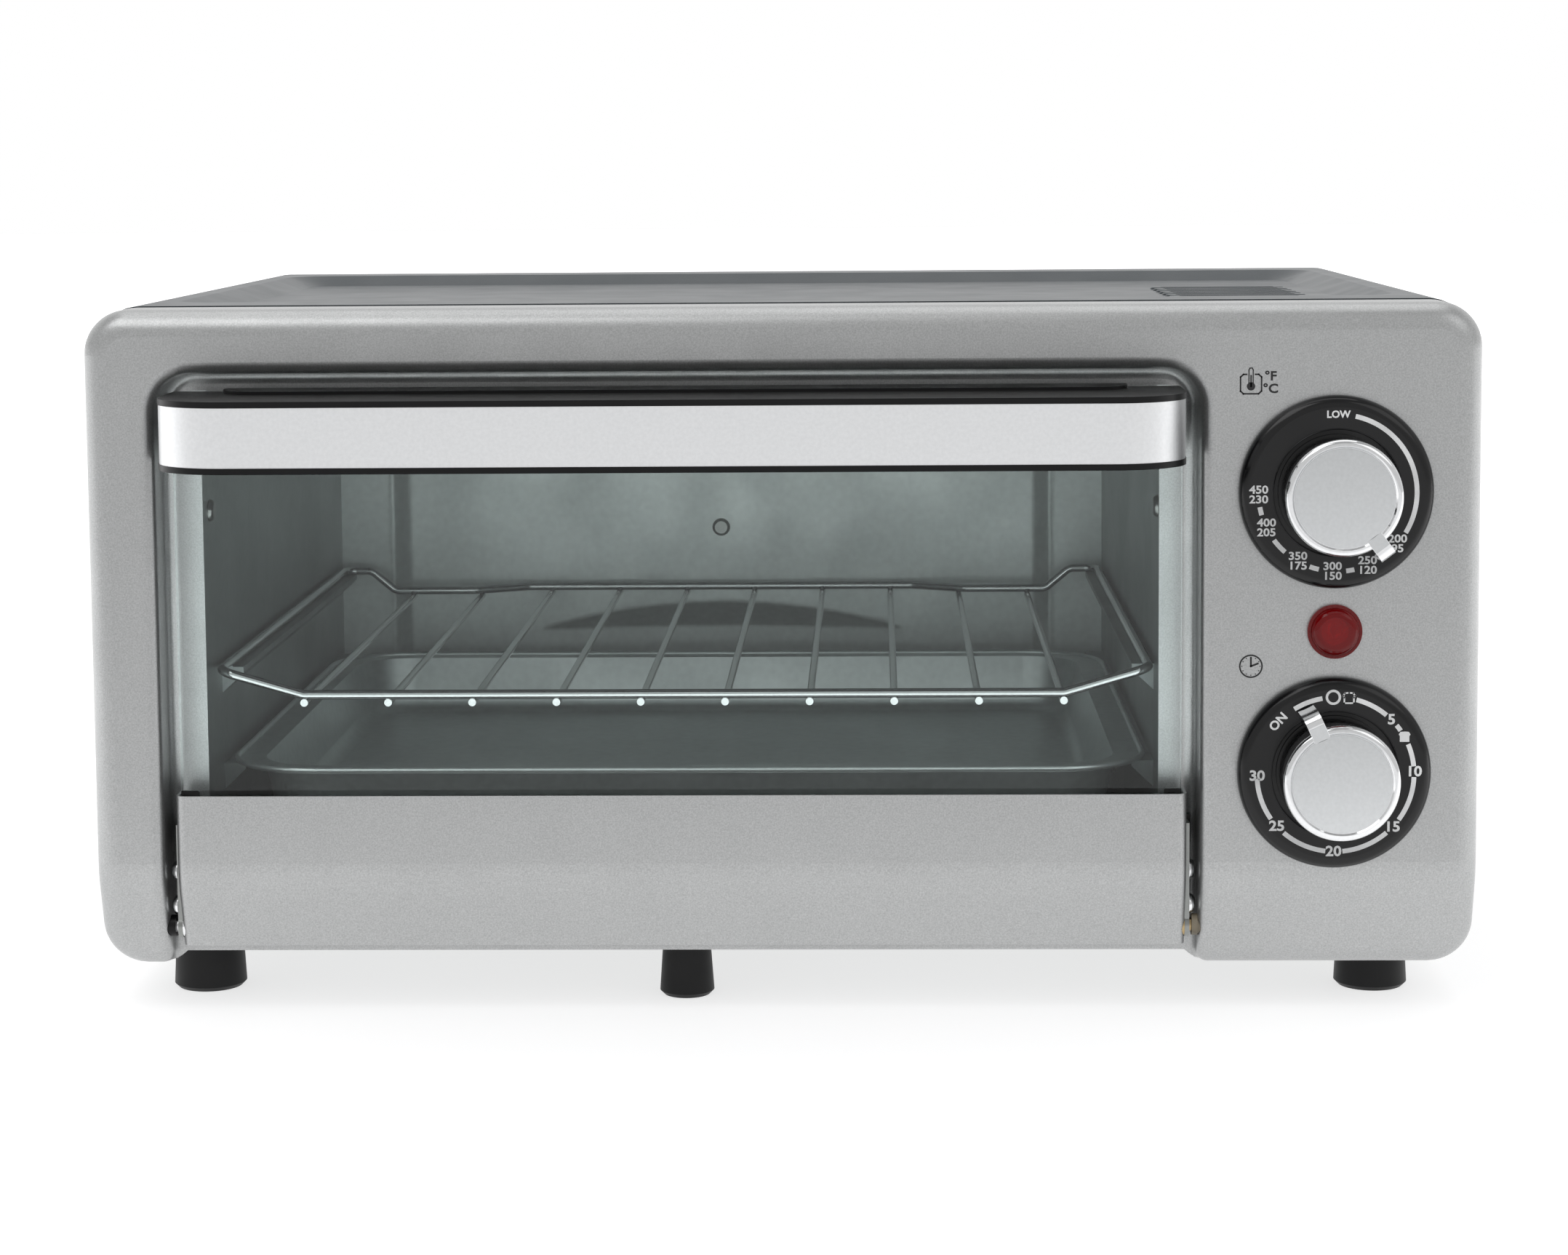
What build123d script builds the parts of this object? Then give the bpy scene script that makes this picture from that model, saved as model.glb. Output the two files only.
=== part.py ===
from build123d import *
import os
from math import acos, cos, degrees, pi, radians, sin, sqrt

os.makedirs("parts", exist_ok=True)

# Sizes in millimetres. X runs to the oven's right, Y from front to back, Z up from the table.
# A "setback" is measured back from the front face, and a "height" up from the bottom of the body.

# Whole oven
body_width = 370.0
body_height = 178.0
body_depth = 250.0
foot_height = 13.0
handle_reach = 38.0
rear_bulge = 14.0

# Sheet metal and general fits
panel_sheet = 1.0
case_sheet = 0.8
running_gap = 0.05
slip_gap = 0.3
hole_gap = 0.1
overcut = 1.0
pick_slack = 0.1

# Front panel
panel_corner = 12.0
panel_edge = 7.0
panel_rim = 18.0
bend_height = 25.0
bend_setback = 8.0
bend_radius = 30.0
post_width = 19.0
control_width = 74.0
lintel_height = 17.0
pocket_depth = 15.0
pocket_corner = 10.0
pocket_lip = 3.2
pocket_root = 3.5
rail_lift = 2.5
ledge_width = 10.0
ledge_top = 9.0
sill_height = 14.0
window_corner = 3.0
lap_length = 8.0
lap_gap = 0.2

# Outer cover
cover_step = 0.3
cover_seam = 0.5
cover_lift = 5.5
recess_depth = 3.0
recess_slope = 9.0
recess_rim_side = 17.0
recess_rim_front = 20.0
recess_rim_rear = 18.0
recess_corner = 12.0
louvre_count = 8
louvre_pitch = 10.4
louvre_length = 41.0
louvre_width = 6.0
louvre_height = 0.6
louvre_round = 0.5
louvre_slot = 2.4
louvre_setback = 121.0
louvre_shift = 15.0
side_vent_count = 6
side_vent_pitch = 9.0
side_vent_length = 46.0
side_vent_width = 2.6
side_vent_setback = 150.0
side_vent_height = 62.0
cover_flange = 9.0

# Rear panel
emboss_width = 225.0
emboss_low = 17.0
emboss_high = 150.0
emboss_depth = 5.0
emboss_draft = 5.0
emboss_corner = 12.0
bulge_radius = 218.0
bulge_low = 19.0
bulge_shoulder_low = 29.0
bulge_shoulder_high = 57.0
bulge_high = 71.0
rear_vent_count = 8
rear_vent_pitch = 8.0
rear_vent_length = 44.0
rear_vent_width = 3.0
rear_vent_height = 112.0
rear_screw_height_low = 30.0
rear_screw_height_high = 130.0
rear_screw_span = 280.0
spacer_height = 91.0
spacer_radius = 3.0
spacer_crown = 2.1

# Cavity
wall_setout = 0.8
ceiling_rise = 1.0
rib_reach = 6.0
rib_height = 8.0
rib_nose = 1.6
rib_front_setback = 40.0
rib_rear_gap = 8.0
wall_rivet_height = 122.0
wall_rivet_setback = 28.0
rivet_head = 3.0
rivet_dome = 1.4
rivet_shank = 1.6
rivet_tail = 2.4
rivet_upset = 0.7
rivet_edge = 0.1

# Heating elements
element_radius = 3.2
element_overhang = 16.0
element_pin_radius = 1.5
element_pin_length = 9.0
upper_element_drop = 34.0
lower_element_height = 24.0
element_front_setback = 75.0
element_rear_setback = 185.0
insulator_flange = 6.5
insulator_neck = 4.8
insulator_length = 5.0

# Door
door_gap = 3.5
door_low = 6.0
door_panel_height = 48.0
door_sheet = 0.8
door_flange = 10.5
door_side_bend = 2.5
glass_thickness = 4.0
glass_side_gap = 0.7
glass_low = 30.0
glass_top_gap = 0.8
glass_pad = 0.4
glass_corner = 4.0
inner_panel_low = 18.0
inner_tab_width = 5.0
inner_tab_rise = 0.8
inner_tab_corner = 0.6

# Door hinges
hinge_setback = 8.5
hinge_height = 11.0
pin_radius = 1.8
pin_head = 3.0
bush_radius = 2.9
bush_collar = 1.6
bush_body = 2.6
bush_tail = 3.0
leaf_sheet = 1.2
leaf_setback = 6.0
leaf_ear = 3.2
arm_radius = 26.0
arm_width = 4.0
arm_end_angle = -8.0
arm_slot_room = 1.0
door_rivet_low = 16.8
door_rivet_high = 26.2
door_rivet_setback = 8.1
door_rivet_head = 2.7
door_rivet_dome = 1.6
door_rivet_tail = 1.9
spring_wire = 0.6
spring_coil = 3.0
spring_turns = 14
spring_pitch = 3.0
anchor_width = 8.0
anchor_sheet = 1.5
anchor_rise = 10.0

# Handle
handle_top_drop = 20.7
handle_height = 19.3
handle_side_inset = 2.4
handle_corner = 20.0
handle_wall = 3.0
handle_step = 0.8
handle_plateau_inset = 14.0
handle_plateau_front = 13.0
handle_plateau_corner = 10.0
strip_sheet = 1.0
strip_inset = 0.2
strip_low = 1.6
strip_height = 15.3
strip_return = 8.0
handle_screw_span = 180.0
handle_screw_radius = 2.0
handle_screw_head = 4.0
handle_screw_cap = 2.0
handle_boss = 4.5
handle_boss_length = 8.0

# Controls
dial_from_right = 39.0
thermostat_drop = 49.5
pilot_drop = 86.5
timer_drop = 124.0
dial_radius = 25.5
dial_rise = 4.2
dial_round = 3.0
dial_mouth_round = 0.5
dial_well = 16.6
dial_floor = 1.2
dial_bore = 6.0
dial_hollow_inner = 17.8
dial_hollow_outer = 22.6
dial_hollow_depth = 2.6
knob_radius = 15.25
knob_lip = 13.55
knob_round = 1.6
knob_front = 18.0
knob_rear_gap = 0.5
knob_dish = 0.45
pointer_width = 4.4
pointer_reach = 19.6
pointer_round = 3.0
pointer_ring_gap = 0.8
thermostat_pointer = 143.0
timer_pointer = -24.5
shaft_radius = 3.0
shaft_flat = 1.0
shaft_end = 12.0
neck_radius = 5.0
control_plate = 1.2
control_plate_width = 50.0
control_plate_height = 16.0
control_neck_length = 7.0
thermostat_width = 40.0
thermostat_tall = 30.0
thermostat_deep = 26.0
timer_width = 52.0
timer_tall = 48.0
timer_deep = 30.0
control_edge = 1.5
bell_radius = 19.0
bell_depth = 9.0
bell_round = 6.0
bell_sheet = 0.8
bell_stand = 3.0
bell_post = 3.0
control_screw_ring = 20.0
control_screw_head = 2.2
control_screw_cap = 1.1
control_screw_shank = 1.3
control_screw_length = 5.0
cover_screw_length = 15.0
cover_screw_tip = 1.0
cover_screw_cap = 1.8
cover_screw_round = 0.9
pilot_radius = 6.3
pilot_rim = 7.2
pilot_rim_rise = 1.0
pilot_dome = 3.4
pilot_round = 2.2
pilot_barrel = 5.4
pilot_barrel_length = 14.0
lamp_radius = 3.2
lamp_length = 12.0
lamp_gap = 0.4
lamp_round = 2.4

# Rear cord gland and inner wires
gland_height = 25.0
gland_flange = 11.0
gland_flange_rise = 3.0
gland_taper = 1.0
gland_barrel = 8.0
gland_bore = 3.6
gland_length = 12.0
wire_radius = 1.3
wire_bend = 5.2
wire_lead = 24.0
timer_terminal = 18.0
thermostat_terminal = 12.0
thermostat_feed = 7.0
gland_lead = 20.0

# Feet
foot_inset = 23.0
foot_front_setback = 39.0
foot_rear_inset = 30.0
foot_radius = 10.0
foot_top_radius = 9.2
foot_edge = 1.2
center_foot_setback = 29.0
center_foot_radius = 7.5
center_foot_top = 6.5
foot_screw_head = 3.4
foot_screw_cap = 2.0
foot_screw_shank = 1.6
foot_recess_radius = 4.2
foot_recess_depth = 8.0

# Wire rack
rack_wire = 1.3
cross_wire = 1.05
rack_weld = 0.3
rack_height = 71.6
rack_side_height = 78.3
rack_front_shoulder = 23.0
rack_rear_shoulder = 17.0
rack_rear_flat = 9.0
rack_side_gap = 1.2
rack_front_setback = 24.0
rack_rear_gap = 10.0
rack_bulge = 9.0
rack_bulge_span = 130.0
rack_bulge_ramp = 18.0
rack_bend = 4.0
cross_count = 10
cross_margin = 25.7

# Baking pan
pan_sheet = 0.8
pan_rim_height = 50.7
pan_depth = 18.0
pan_side_gap = 1.8
pan_front_setback = 22.5
pan_length = 211.0
pan_rim_width = 8.0
pan_corner = 26.0
pan_draft = 4.0
pan_root = 5.0
pan_bead = 0.8
pan_bead_lift = 0.1

# Crumb tray
tray_sheet = 0.7
tray_rise = 2.4
tray_rim = 4.0
tray_side_gap = 6.0
tray_front_setback = 26.0
tray_lip_overlap = 1.6
tray_pull = 9.0
tray_pull_width = 90.0
tray_slot_gap = 0.6
tray_runner_inset = 25.0
tray_runner_width = 2.4

# Places worked out from the sizes
overall_depth = handle_reach + body_depth + rear_bulge
front_y = handle_reach - overall_depth / 2
rear_y = front_y + body_depth
rear_inner_y = rear_y - case_sheet
base_z = foot_height
top_z = base_z + body_height
cover_top = top_z + cover_step
cover_front = front_y + panel_rim + cover_seam
cover_corner = panel_corner + cover_step
joggle = case_sheet + lap_gap
pocket_left = post_width - body_width / 2
pocket_right = body_width / 2 - control_width
pocket_mid = (pocket_left + pocket_right) / 2
pocket_width = pocket_right - pocket_left
pocket_top = top_z - lintel_height
pocket_floor_y = front_y + pocket_depth
liner_y = pocket_floor_y + panel_sheet
window_left = pocket_left + ledge_width
window_right = pocket_right - ledge_width
window_low = base_z + sill_height
window_high = pocket_top - ledge_top
cavity_left = window_left - wall_setout
cavity_right = window_right + wall_setout
cavity_width = cavity_right - cavity_left
plate_z = base_z + rail_lift + panel_sheet
floor_z = plate_z + case_sheet
ceiling_z = window_high + ceiling_rise
pan_rim_z = base_z + pan_rim_height
rack_side_z = base_z + rack_side_height
rack_z = base_z + rack_height
door_width = pocket_width - 2 * door_gap
handle_high = body_height - handle_top_drop
handle_low = handle_high - handle_height
upper_element_height = body_height - upper_element_drop
foot_spread = body_width / 2 - foot_inset
foot_rear_setback = body_depth - foot_rear_inset
door_left = pocket_mid - door_width / 2
door_right = pocket_mid + door_width / 2
glass_y = front_y + door_sheet + glass_pad
glass_back_y = glass_y + glass_thickness
hinge_y = front_y + hinge_setback
hinge_z = base_z + hinge_height
dial_x = body_width / 2 - dial_from_right
thermostat_z = top_z - thermostat_drop
pilot_z = top_z - pilot_drop
timer_z = top_z - timer_drop
gland_z = base_z + gland_height
spacer_z = base_z + spacer_height


def facing(y):
    """Upright plane across the oven at depth y: sketch X is X, sketch Y is Z, and extrusions go forward."""
    return Plane.XZ.offset(-y)


def across(x):
    """Upright plane from front to back at x: sketch X is Y, sketch Y is Z, and extrusions go to +X."""
    return Plane.YZ.offset(x)


def turning(x, y, z):
    """Half plane for a piece turned about a front-to-back axis: sketch X is the radius, sketch Y is Y."""
    return Plane(origin=(x, y, z), x_dir=(1, 0, 0), z_dir=(0, 0, 1))


def save(piece, name):
    piece.part.label = name
    export_step(piece.part, f"parts/{name}.step")


def round_corners(sketch, rounds):
    """Rounds the corners of a sketch that are nearest to the given points, each with its own radius."""
    for corner, radius in rounds:
        fillet(sketch.vertices().sort_by_distance(corner)[0], radius)


def turned(x, y, z, outline, rounds=()):
    """A piece turned about the front-to-back line through x, z, from (radius, setback) points."""
    with BuildPart() as piece:
        with BuildSketch(turning(x, y, z)) as half:
            with BuildLine():
                Polyline(*outline, close=True)
            make_face()
            round_corners(half, rounds)
        revolve(axis=Axis((x, y, z), (0, 1, 0)))
    return piece


# Front panel: one drawn sheet with a softly bent lower face, a door pocket and a rim that the cover laps.
def pocket_tool(inset):
    high = pocket_top + inset
    low = base_z - panel_edge
    with BuildPart() as tool:
        with BuildSketch(facing(pocket_floor_y + inset)) as pocket:
            with Locations((pocket_mid, (high + low) / 2)):
                Rectangle(pocket_width + 2 * inset, high - low)
            fillet(pocket.vertices().group_by(Axis.Y)[-1], pocket_corner + inset)
        extrude(amount=2 * pocket_depth)
        well_edges = tool.faces().sort_by(Axis.Y)[-1].edges()
        fillet(well_edges.filter_by(lambda e: e.center().Z > low + 1), pocket_root + inset)
    return tool.part


def front_form(inset):
    slope = bend_setback / bend_height
    lean = sqrt(1 + slope**2)
    face_y = front_y + inset
    bend_z = base_z + bend_height + inset * (lean - 1) / slope
    heel_y = front_y + bend_setback + inset * lean
    step_y = front_y + panel_rim - inset
    well_y = pocket_floor_y + inset
    low = base_z + inset
    high = pocket_top + inset
    with BuildPart() as form:
        with BuildSketch(facing(step_y)):
            with Locations((0, base_z + body_height / 2)):
                RectangleRounded(body_width - 2 * inset, body_height - 2 * inset, panel_corner - inset)
        extrude(amount=panel_rim)
        with BuildSketch(across(-body_width / 2)) as side:
            with BuildLine():
                Polyline(
                    (face_y, top_z),
                    (face_y, bend_z),
                    (heel_y, base_z),
                    (step_y, base_z),
                    (step_y, top_z),
                    close=True,
                )
            make_face()
            fillet(side.vertices().sort_by_distance((face_y, bend_z))[0], bend_radius - inset)
        extrude(amount=body_width, mode=Mode.INTERSECT)
        rim = form.edges().filter_by(lambda e: e.center().Y < step_y - 1 and abs(e.tangent_at(0.5).Y) < 0.9)
        seams = rim.filter_by(lambda e: abs(e.center().X) < 1 and low + 1 < e.center().Z < top_z - inset - 1)
        fillet([e for e in rim if e not in seams], panel_edge - inset)
        add(pocket_tool(inset), mode=Mode.SUBTRACT)
        mouth_left = pocket_left - inset - pick_slack
        mouth_right = pocket_right + inset + pick_slack
        inside = form.edges().filter_by(
            lambda e: mouth_left < e.center().X < mouth_right and e.center().Z < high + pick_slack
        )
        fillet(
            inside.filter_by(
                lambda e: e.center().Y < well_y - pocket_root and abs(e.tangent_at(0.5).Y) < 0.9
            ),
            pocket_lip - inset,
        )
        with BuildSketch(facing(step_y)):
            with Locations((0, base_z + body_height / 2)):
                lap = joggle + inset
                RectangleRounded(body_width - 2 * lap, body_height - 2 * lap, panel_corner - lap)
        extrude(amount=-lap_length - 3 * inset)
        with BuildSketch(facing(well_y)):
            with Locations((pocket_mid, base_z)):
                Rectangle(pocket_width + 2 * inset, 2 * (rail_lift + inset))
        extrude(amount=-body_depth / 2, mode=Mode.SUBTRACT)
    return form.part


slot_z = hinge_z + sqrt(arm_radius**2 - (pocket_depth - hinge_setback) ** 2)
leaf_xs = (door_left - leaf_sheet, door_right)
with BuildPart() as front_panel:
    add(front_form(0))
    add(front_form(panel_sheet), mode=Mode.SUBTRACT)
    with BuildSketch(facing(liner_y + overcut)):
        with Locations(((window_left + window_right) / 2, (window_low + window_high) / 2)):
            RectangleRounded(window_right - window_left, window_high - window_low, window_corner)
    extrude(amount=panel_sheet + 2 * overcut, mode=Mode.SUBTRACT)
    with BuildSketch(facing(front_y + panel_sheet + overcut)):
        with Locations((dial_x, thermostat_z), (dial_x, timer_z)):
            Circle(neck_radius + slip_gap)
            with PolarLocations(control_screw_ring, 2):
                Circle(control_screw_shank + hole_gap)
        with Locations((dial_x, pilot_z)):
            Circle(pilot_barrel + hole_gap)
    extrude(amount=panel_sheet + 2 * overcut, mode=Mode.SUBTRACT)
    for wall_x in (pocket_left - panel_sheet, pocket_right):
        with BuildSketch(across(wall_x - overcut)):
            with Locations((hinge_y, hinge_z)):
                Circle(bush_body + hole_gap)
        extrude(amount=panel_sheet + 2 * overcut, mode=Mode.SUBTRACT)
    with BuildSketch(facing(liner_y + overcut)):
        with Locations(*((x + leaf_sheet / 2, slot_z) for x in leaf_xs)):
            Rectangle(leaf_sheet + 2 * arm_slot_room, arm_width + 4 * arm_slot_room)
    extrude(amount=panel_sheet + 2 * overcut, mode=Mode.SUBTRACT)
save(front_panel, "front_panel")


# Outer cover: top and both sides in one bent sheet, with a shallow sunk top, louvres and a rear flange.
cover_length = rear_inner_y - cover_front
cover_low = base_z + cover_lift
recess_width = body_width - 2 * recess_rim_side
recess_front_y = cover_front + recess_rim_front
recess_rear_y = rear_inner_y - recess_rim_rear
recess_mid_y = (recess_front_y + recess_rear_y) / 2
recess_length = recess_rear_y - recess_front_y


def cover_form(inset, reach):
    with BuildPart() as form:
        with BuildSketch(facing(rear_inner_y - inset)) as section:
            with Locations((0, (cover_top - inset + cover_low - reach) / 2)):
                Rectangle(body_width - 2 * inset, cover_top - inset - cover_low + reach)
            fillet(section.vertices().group_by(Axis.Y)[-1], cover_corner - inset)
        extrude(amount=cover_length - inset + reach)
        with BuildSketch(Plane.XY.offset(cover_top - inset)):
            with Locations((0, recess_mid_y)):
                RectangleRounded(recess_width, recess_length, recess_corner)
        with BuildSketch(Plane.XY.offset(cover_top - recess_depth - inset)):
            with Locations((0, recess_mid_y)):
                RectangleRounded(
                    recess_width - 2 * recess_slope,
                    recess_length - 2 * recess_slope,
                    recess_corner / 2,
                )
        loft(mode=Mode.SUBTRACT)
    return form.part


recess_floor_z = cover_top - recess_depth
louvre_x = dial_x - louvre_shift
louvre_y = front_y + louvre_setback
with BuildPart() as outer_cover:
    add(cover_form(0, 0))
    add(cover_form(case_sheet, case_sheet), mode=Mode.SUBTRACT)
    with BuildSketch(facing(rear_inner_y)) as opening:
        with Locations((0, (cover_top - cover_flange + cover_low - cover_flange) / 2)):
            Rectangle(body_width - 2 * cover_flange, cover_top - cover_low)
        fillet(opening.vertices().group_by(Axis.Y)[-1], cover_corner)
    extrude(amount=2 * case_sheet, mode=Mode.SUBTRACT)
    with BuildSketch(Plane.XY.offset(recess_floor_z)):
        with Locations((louvre_x, louvre_y)):
            with GridLocations(1, louvre_pitch, 1, louvre_count):
                SlotOverall(louvre_length, louvre_width)
    extrude(amount=louvre_height)
    fillet(outer_cover.faces(Select.LAST).filter_by(Axis.Z).group_by(Axis.Z)[-1].edges(), louvre_round)
    with BuildSketch(Plane.XY.offset(recess_floor_z - case_sheet - overcut)):
        with Locations((louvre_x, louvre_y)):
            with GridLocations(1, louvre_pitch, 1, louvre_count):
                SlotOverall(louvre_length - louvre_width, louvre_slot)
    extrude(amount=case_sheet + louvre_height + 2 * overcut, mode=Mode.SUBTRACT)
    with BuildSketch(across(body_width / 2 - case_sheet - overcut)):
        with Locations((front_y + side_vent_setback, base_z + side_vent_height)):
            with GridLocations(1, side_vent_pitch, 1, side_vent_count):
                SlotOverall(side_vent_length, side_vent_width)
    extrude(amount=case_sheet + 2 * overcut, mode=Mode.SUBTRACT)
    rear_screws = [
        *((x * rear_screw_span / 2, cover_top - cover_flange / 2) for x in (-1, 0, 1)),
        *(
            (x * (body_width - cover_flange) / 2, base_z + h)
            for x in (-1, 1)
            for h in (rear_screw_height_low, rear_screw_height_high)
        ),
    ]
    with BuildSketch(facing(rear_inner_y + overcut)):
        with Locations(*rear_screws):
            Circle(control_screw_shank + hole_gap)
    extrude(amount=case_sheet + 2 * overcut, mode=Mode.SUBTRACT)
save(outer_cover, "outer_cover")


# Rear panel: flat sheet embossed behind the cavity, with a round bulge and vents behind the controls.
emboss_mid_z = base_z + (emboss_low + emboss_high) / 2
emboss_tall = emboss_high - emboss_low
bulge_axis_y = rear_y + rear_bulge - bulge_radius


def rear_form(inset):
    skin_y = rear_y - inset
    with BuildPart() as form:
        with BuildSketch(facing(skin_y)) as outline:
            with Locations((0, (cover_top + plate_z) / 2)):
                Rectangle(body_width - 2 * slip_gap, cover_top - plate_z - 2 * slip_gap)
            fillet(outline.vertices().group_by(Axis.Y)[-1], cover_corner)
        extrude(amount=case_sheet)
        with BuildSketch(facing(skin_y)):
            with Locations((pocket_mid, emboss_mid_z)):
                RectangleRounded(emboss_width - 2 * inset, emboss_tall - 2 * inset, emboss_corner)
        with BuildSketch(facing(skin_y + emboss_depth)):
            with Locations((pocket_mid, emboss_mid_z)):
                trim = 2 * (inset + emboss_draft)
                RectangleRounded(emboss_width - trim, emboss_tall - trim, emboss_corner - emboss_draft)
        loft()
        outer = bulge_radius - inset
        inner = outer - rear_bulge
        half = degrees(acos(inner / outer))
        start = Plane(
            origin=(pocket_mid, bulge_axis_y, base_z),
            x_dir=(sin(radians(half)), cos(radians(half)), 0),
            z_dir=(cos(radians(half)), -sin(radians(half)), 0),
        )
        with BuildSketch(start):
            with BuildLine():
                Polyline(
                    (inner - case_sheet, bulge_low + inset),
                    (inner, bulge_low + inset),
                    (outer, bulge_shoulder_low + inset),
                    (outer, bulge_shoulder_high - inset),
                    (inner, bulge_high - inset),
                    (inner - case_sheet, bulge_high - inset),
                    close=True,
                )
            make_face()
        revolve(axis=Axis((pocket_mid, bulge_axis_y, 0), (0, 0, 1)), revolution_arc=2 * half)
    return form.part


tray_left = cavity_left + tray_side_gap
tray_right = cavity_right - tray_side_gap
tray_mid = (tray_left + tray_right) / 2
tray_width = tray_right - tray_left
tray_z = floor_z + tray_rise
with BuildPart() as rear_panel:
    add(rear_form(0))
    with BuildSketch(facing(rear_inner_y)):
        with Locations((pocket_mid, (cover_top + plate_z) / 2)):
            Rectangle(2 * body_width, 2 * body_height)
    extrude(amount=body_depth, mode=Mode.SUBTRACT)
    add(rear_form(case_sheet), mode=Mode.SUBTRACT)
    with BuildSketch(facing(rear_y + overcut)):
        with Locations((dial_x, base_z + rear_vent_height)):
            with GridLocations(1, rear_vent_pitch, 1, rear_vent_count):
                SlotOverall(rear_vent_length, rear_vent_width)
        with Locations((dial_x, gland_z)):
            Circle(gland_barrel + hole_gap)
        with Locations(*rear_screws):
            Circle(control_screw_shank + hole_gap)
        with Locations((tray_mid, tray_z + tray_rim / 2)):
            Rectangle(tray_width + 2 * tray_slot_gap, tray_rim + 2 * tray_slot_gap)
    extrude(amount=case_sheet + 2 * overcut, mode=Mode.SUBTRACT)
    with BuildSketch(facing(rear_y + emboss_depth + overcut)):
        with Locations((pocket_mid, spacer_z)):
            Circle(rivet_shank + hole_gap)
    extrude(amount=case_sheet + 2 * overcut, mode=Mode.SUBTRACT)
save(rear_panel, "rear_panel")


# Bottom plate: flat sheet with side flanges, crumb tray runners and a hooked tab for each door spring.
lap_end_y = front_y + panel_rim + lap_length
plate_half = body_width / 2 - case_sheet
plate_nose_half = body_width / 2 - panel_corner - slip_gap
plate_tail_half = body_width / 2 - cover_flange - slip_gap
spring_z = hinge_z + arm_radius * sin(radians(arm_end_angle / 2))
spring_front_y = hinge_y + arm_radius + arm_width / 2 + spring_wire + slip_gap
spring_rear_y = spring_front_y + spring_turns * spring_pitch
anchor_y = spring_rear_y + spring_wire + slip_gap
spring_xs = [x + leaf_sheet / 2 for x in leaf_xs]
foot_places = {
    "front_left_foot": (-foot_spread, front_y + foot_front_setback),
    "front_right_foot": (foot_spread, front_y + foot_front_setback),
    "rear_left_foot": (-foot_spread, front_y + foot_rear_setback),
    "rear_right_foot": (foot_spread, front_y + foot_rear_setback),
}
center_foot_place = (pocket_mid, front_y + center_foot_setback)


def strip_between(y_low, y_high, half):
    """Flat rectangle across the oven between two depths."""
    with Locations((0, (y_low + y_high) / 2)):
        Rectangle(2 * half, y_high - y_low)


with BuildPart() as bottom_plate:
    with BuildSketch(Plane.XY.offset(plate_z)):
        strip_between(liner_y, lap_end_y + slip_gap, plate_nose_half)
        strip_between(lap_end_y + slip_gap, rear_inner_y - case_sheet, plate_half)
        strip_between(rear_inner_y - case_sheet, rear_inner_y, plate_tail_half)
        with Locations(*foot_places.values(), center_foot_place):
            Circle(foot_screw_shank + hole_gap, mode=Mode.SUBTRACT)
    extrude(amount=case_sheet)
    flange_front_y = lap_end_y + slip_gap
    flange_rear_y = rear_inner_y - case_sheet - slip_gap
    with BuildSketch(Plane.XY.offset(floor_z)):
        with Locations(
            *((x * (plate_half - case_sheet / 2), (flange_front_y + flange_rear_y) / 2) for x in (-1, 1))
        ):
            Rectangle(case_sheet, flange_rear_y - flange_front_y)
        with Locations(*((x, anchor_y + anchor_sheet / 2) for x in spring_xs)):
            Rectangle(anchor_width, anchor_sheet)
    extrude(amount=anchor_rise)
    with BuildSketch(Plane.XY.offset(floor_z)):
        runner_spread = tray_width / 2 - tray_runner_inset
        with Locations(*((tray_mid + x * runner_spread, (liner_y + rear_inner_y) / 2) for x in (-1, 1))):
            Rectangle(tray_runner_width, rear_inner_y - liner_y)
    extrude(amount=tray_rise - hole_gap)
save(bottom_plate, "bottom_plate")


# Cavity lining: two side walls with pressed ribs that carry the pan and the rack, and a flat ceiling.
element_places = {
    "upper_front_element": (front_y + element_front_setback, base_z + upper_element_height),
    "upper_rear_element": (front_y + element_rear_setback, base_z + upper_element_height),
    "lower_front_element": (front_y + element_front_setback, base_z + lower_element_height),
    "lower_rear_element": (front_y + element_rear_setback, base_z + lower_element_height),
}
wall_rivet_place = (front_y + wall_rivet_setback, base_z + wall_rivet_height)
rib_tops = (pan_rim_z - pan_sheet - hole_gap, rack_side_z - rack_wire - hole_gap)
rib_front_y = front_y + rib_front_setback
rib_rear_y = rear_inner_y - rib_rear_gap


def cavity_wall(inner_x, inward):
    """Side wall whose inner face is at inner_x, with ribs that stand into the cavity."""
    outer_x = inner_x - inward * case_sheet
    with BuildPart() as wall:
        with BuildSketch(across(inner_x)):
            with Locations(((liner_y + rear_inner_y) / 2, (floor_z + ceiling_z) / 2)):
                Rectangle(rear_inner_y - liner_y, ceiling_z - floor_z)
            with Locations(*element_places.values()):
                Circle(insulator_neck + hole_gap, mode=Mode.SUBTRACT)
            with Locations(wall_rivet_place):
                Circle(rivet_shank + hole_gap, mode=Mode.SUBTRACT)
        extrude(amount=-inward * case_sheet)
        for rib_top in rib_tops:
            nose_x = inner_x + inward * rib_reach
            with BuildSketch(facing(rib_rear_y)):
                with BuildLine():
                    Polyline(
                        (outer_x, rib_top),
                        (nose_x, rib_top),
                        (nose_x, rib_top - rib_nose),
                        (outer_x, rib_top - rib_height),
                        close=True,
                    )
                make_face()
            extrude(amount=rib_rear_y - rib_front_y)
            with BuildSketch(facing(rib_rear_y - case_sheet)):
                with BuildLine():
                    Polyline(
                        (outer_x, rib_top - case_sheet),
                        (nose_x - inward * case_sheet, rib_top - case_sheet),
                        (nose_x - inward * case_sheet, rib_top - rib_nose),
                        (outer_x, rib_top - rib_height + case_sheet),
                        close=True,
                    )
                make_face()
            extrude(amount=rib_rear_y - rib_front_y - 2 * case_sheet, mode=Mode.SUBTRACT)
    return wall


save(cavity_wall(cavity_left, 1), "cavity_left_wall")
save(cavity_wall(cavity_right, -1), "cavity_right_wall")

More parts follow.
